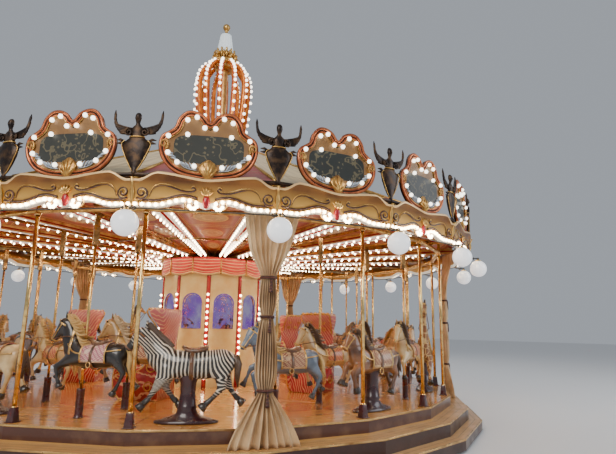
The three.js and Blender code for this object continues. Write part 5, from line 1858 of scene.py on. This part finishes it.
back = loft(bmesh.new(), [
    (1, Matrix.Translation((lip - deep / 2, 0, height)) @ Matrix.Diagonal((deep / 2 * 1.08, wide * 1.04, 1, 1)))
    for height, lip, wide, deep in BACK_STATIONS
], 32, shape=squared)
bmesh.ops.recalc_face_normals(back, faces=back.faces)
bmesh.ops.triangulate(back, faces=[face for face in back.faces if len(face.verts) > 4])
place_copies(chariot, back, HERE, SHELL)
hood_rim = smooth_line([
    (-0.290, -0.236, 0.960), (-0.205, -0.268, 1.110), (-0.120, -0.292, 1.215), (-0.096, -0.285, 1.290),
    (-0.096, -0.150, 1.306), (-0.096, 0.0, 1.308), (-0.096, 0.150, 1.306), (-0.096, 0.285, 1.290),
    (-0.120, 0.292, 1.215),
    (-0.205, 0.268, 1.110), (-0.290, 0.236, 0.960),
], 4)
place_copies(chariot, moulding(hood_rim, 0.013, 8), HERE, RIM)
for k in range(-3, 4):
    stand = Matrix.Translation((-0.104, 0.082 * k, 1.312)) @ Matrix.Diagonal((0.014, 0.038, 0.030 - 0.002 * abs(k), 1))
    place_copies(chariot, ball(12, 8, 1, stand), HERE, RIM)
for height, half in ((1.05, 0.215), (1.17, 0.250)):
    for side in (-1, 1):
        front = -0.281 + (height - 1.0) * 0.72
        middle = side * (half - 0.110)
        curl = volute(20, 90, side * 504, 0.050, 0.8, lambda right, up, share: (front, middle + right, height + up))
        place_copies(chariot, moulding(curl, [0.008, 0.005], 6), HERE, RIM)
pad = bmesh.new()
bmesh.ops.create_grid(pad, x_segments=14, y_segments=20, size=0.5)
bmesh.ops.recalc_face_normals(pad, faces=pad.faces)
raised = raised_verts(bmesh.ops.extrude_face_region(pad, geom=pad.faces[:]))
for vert in pad.verts:
    edge = max(0.0, (1 - (2 * vert.co.x) ** 6) * (1 - (2 * vert.co.y) ** 6))
    button = cos(2 * pi * 3 * vert.co.x) * cos(2 * pi * 4 * vert.co.y)
    crown_height = 0.030 * edge ** 0.4 - 0.006 * max(0, button) * edge if vert in raised else 0.0
    vert.co = (-0.133 + vert.co.x * 0.316, vert.co.y * 0.456, 0.3455 + crown_height + (0.004 if vert in raised else 0))
bmesh.ops.recalc_face_normals(pad, faces=pad.faces)
pad_mesh = bpy.data.meshes.new("pad")
pad.to_mesh(pad_mesh)
pad.free()

chariot_red = Paint("chariot_red", Coat_Weight=0.7, Coat_Roughness=0.08)
where = chariot_red.place()
tone = chariot_red.ramp(chariot_red.noise(4, 4), 0.3, 0.7)
fan = chariot_red.node("TexWave", {"wave_type": "RINGS", "rings_direction": "SPHERICAL"}, Vector=where, Scale=7.0,
                       Distortion=6.0, Detail=2.0, out=1)
leafed = chariot_red.ramp(fan, 0.80, 0.90)
x, y, z = chariot_red.axes()
pinkish = chariot_red.ramp(z, 1.25, 1.80)
ground_red = chariot_red.mix(tone, (0.62, 0.035, 0.045), (0.36, 0.015, 0.025))
blush = chariot_red.mix(pinkish, ground_red, (0.70, 0.22, 0.24))
chariot_red.set(Base_Color=chariot_red.mix(leafed, blush, (0.88, 0.52, 0.30)), Roughness=0.28 + 0.12 * tone)
chariot_red.bump(leafed, 0.0015)
padding = Paint("seat_vinyl", Roughness=0.42, Coat_Weight=0.2)
creased = padding.noise(22, 4)
padding.set(Base_Color=padding.mix(creased, (0.42, 0.16, 0.07), (0.22, 0.07, 0.03)))
padding.bump(creased, 0.0015)

chariot_mesh = bpy.data.meshes.new("chariot")
chariot.to_mesh(chariot_mesh)
chariot.free()
for bay in range(BAYS):
    spot = riding(bay * BAY - 1.7 * SECTOR, CHARIOT_ROW, DECK_TOP + 0.0003)
    shell = bmesh.new()
    shell.from_mesh(chariot_mesh)
    bmesh.ops.transform(shell, matrix=spot, verts=shell.verts)
    finish_piece(f"chariot_shell_{bay + 1}", shell, [chariot_red, gilt], "turntable",
                 replaces=[f"chariot_{bay + 1}"])
    cushion = bmesh.new()
    cushion.from_mesh(pad_mesh)
    bmesh.ops.transform(cushion, matrix=spot, verts=cushion.verts)
    cushion = finish_piece(f"chariot_cushion_{bay + 1}", cushion, [padding], "turntable")
bpy.data.meshes.remove(pad_mesh)
bpy.data.meshes.remove(chariot_mesh)
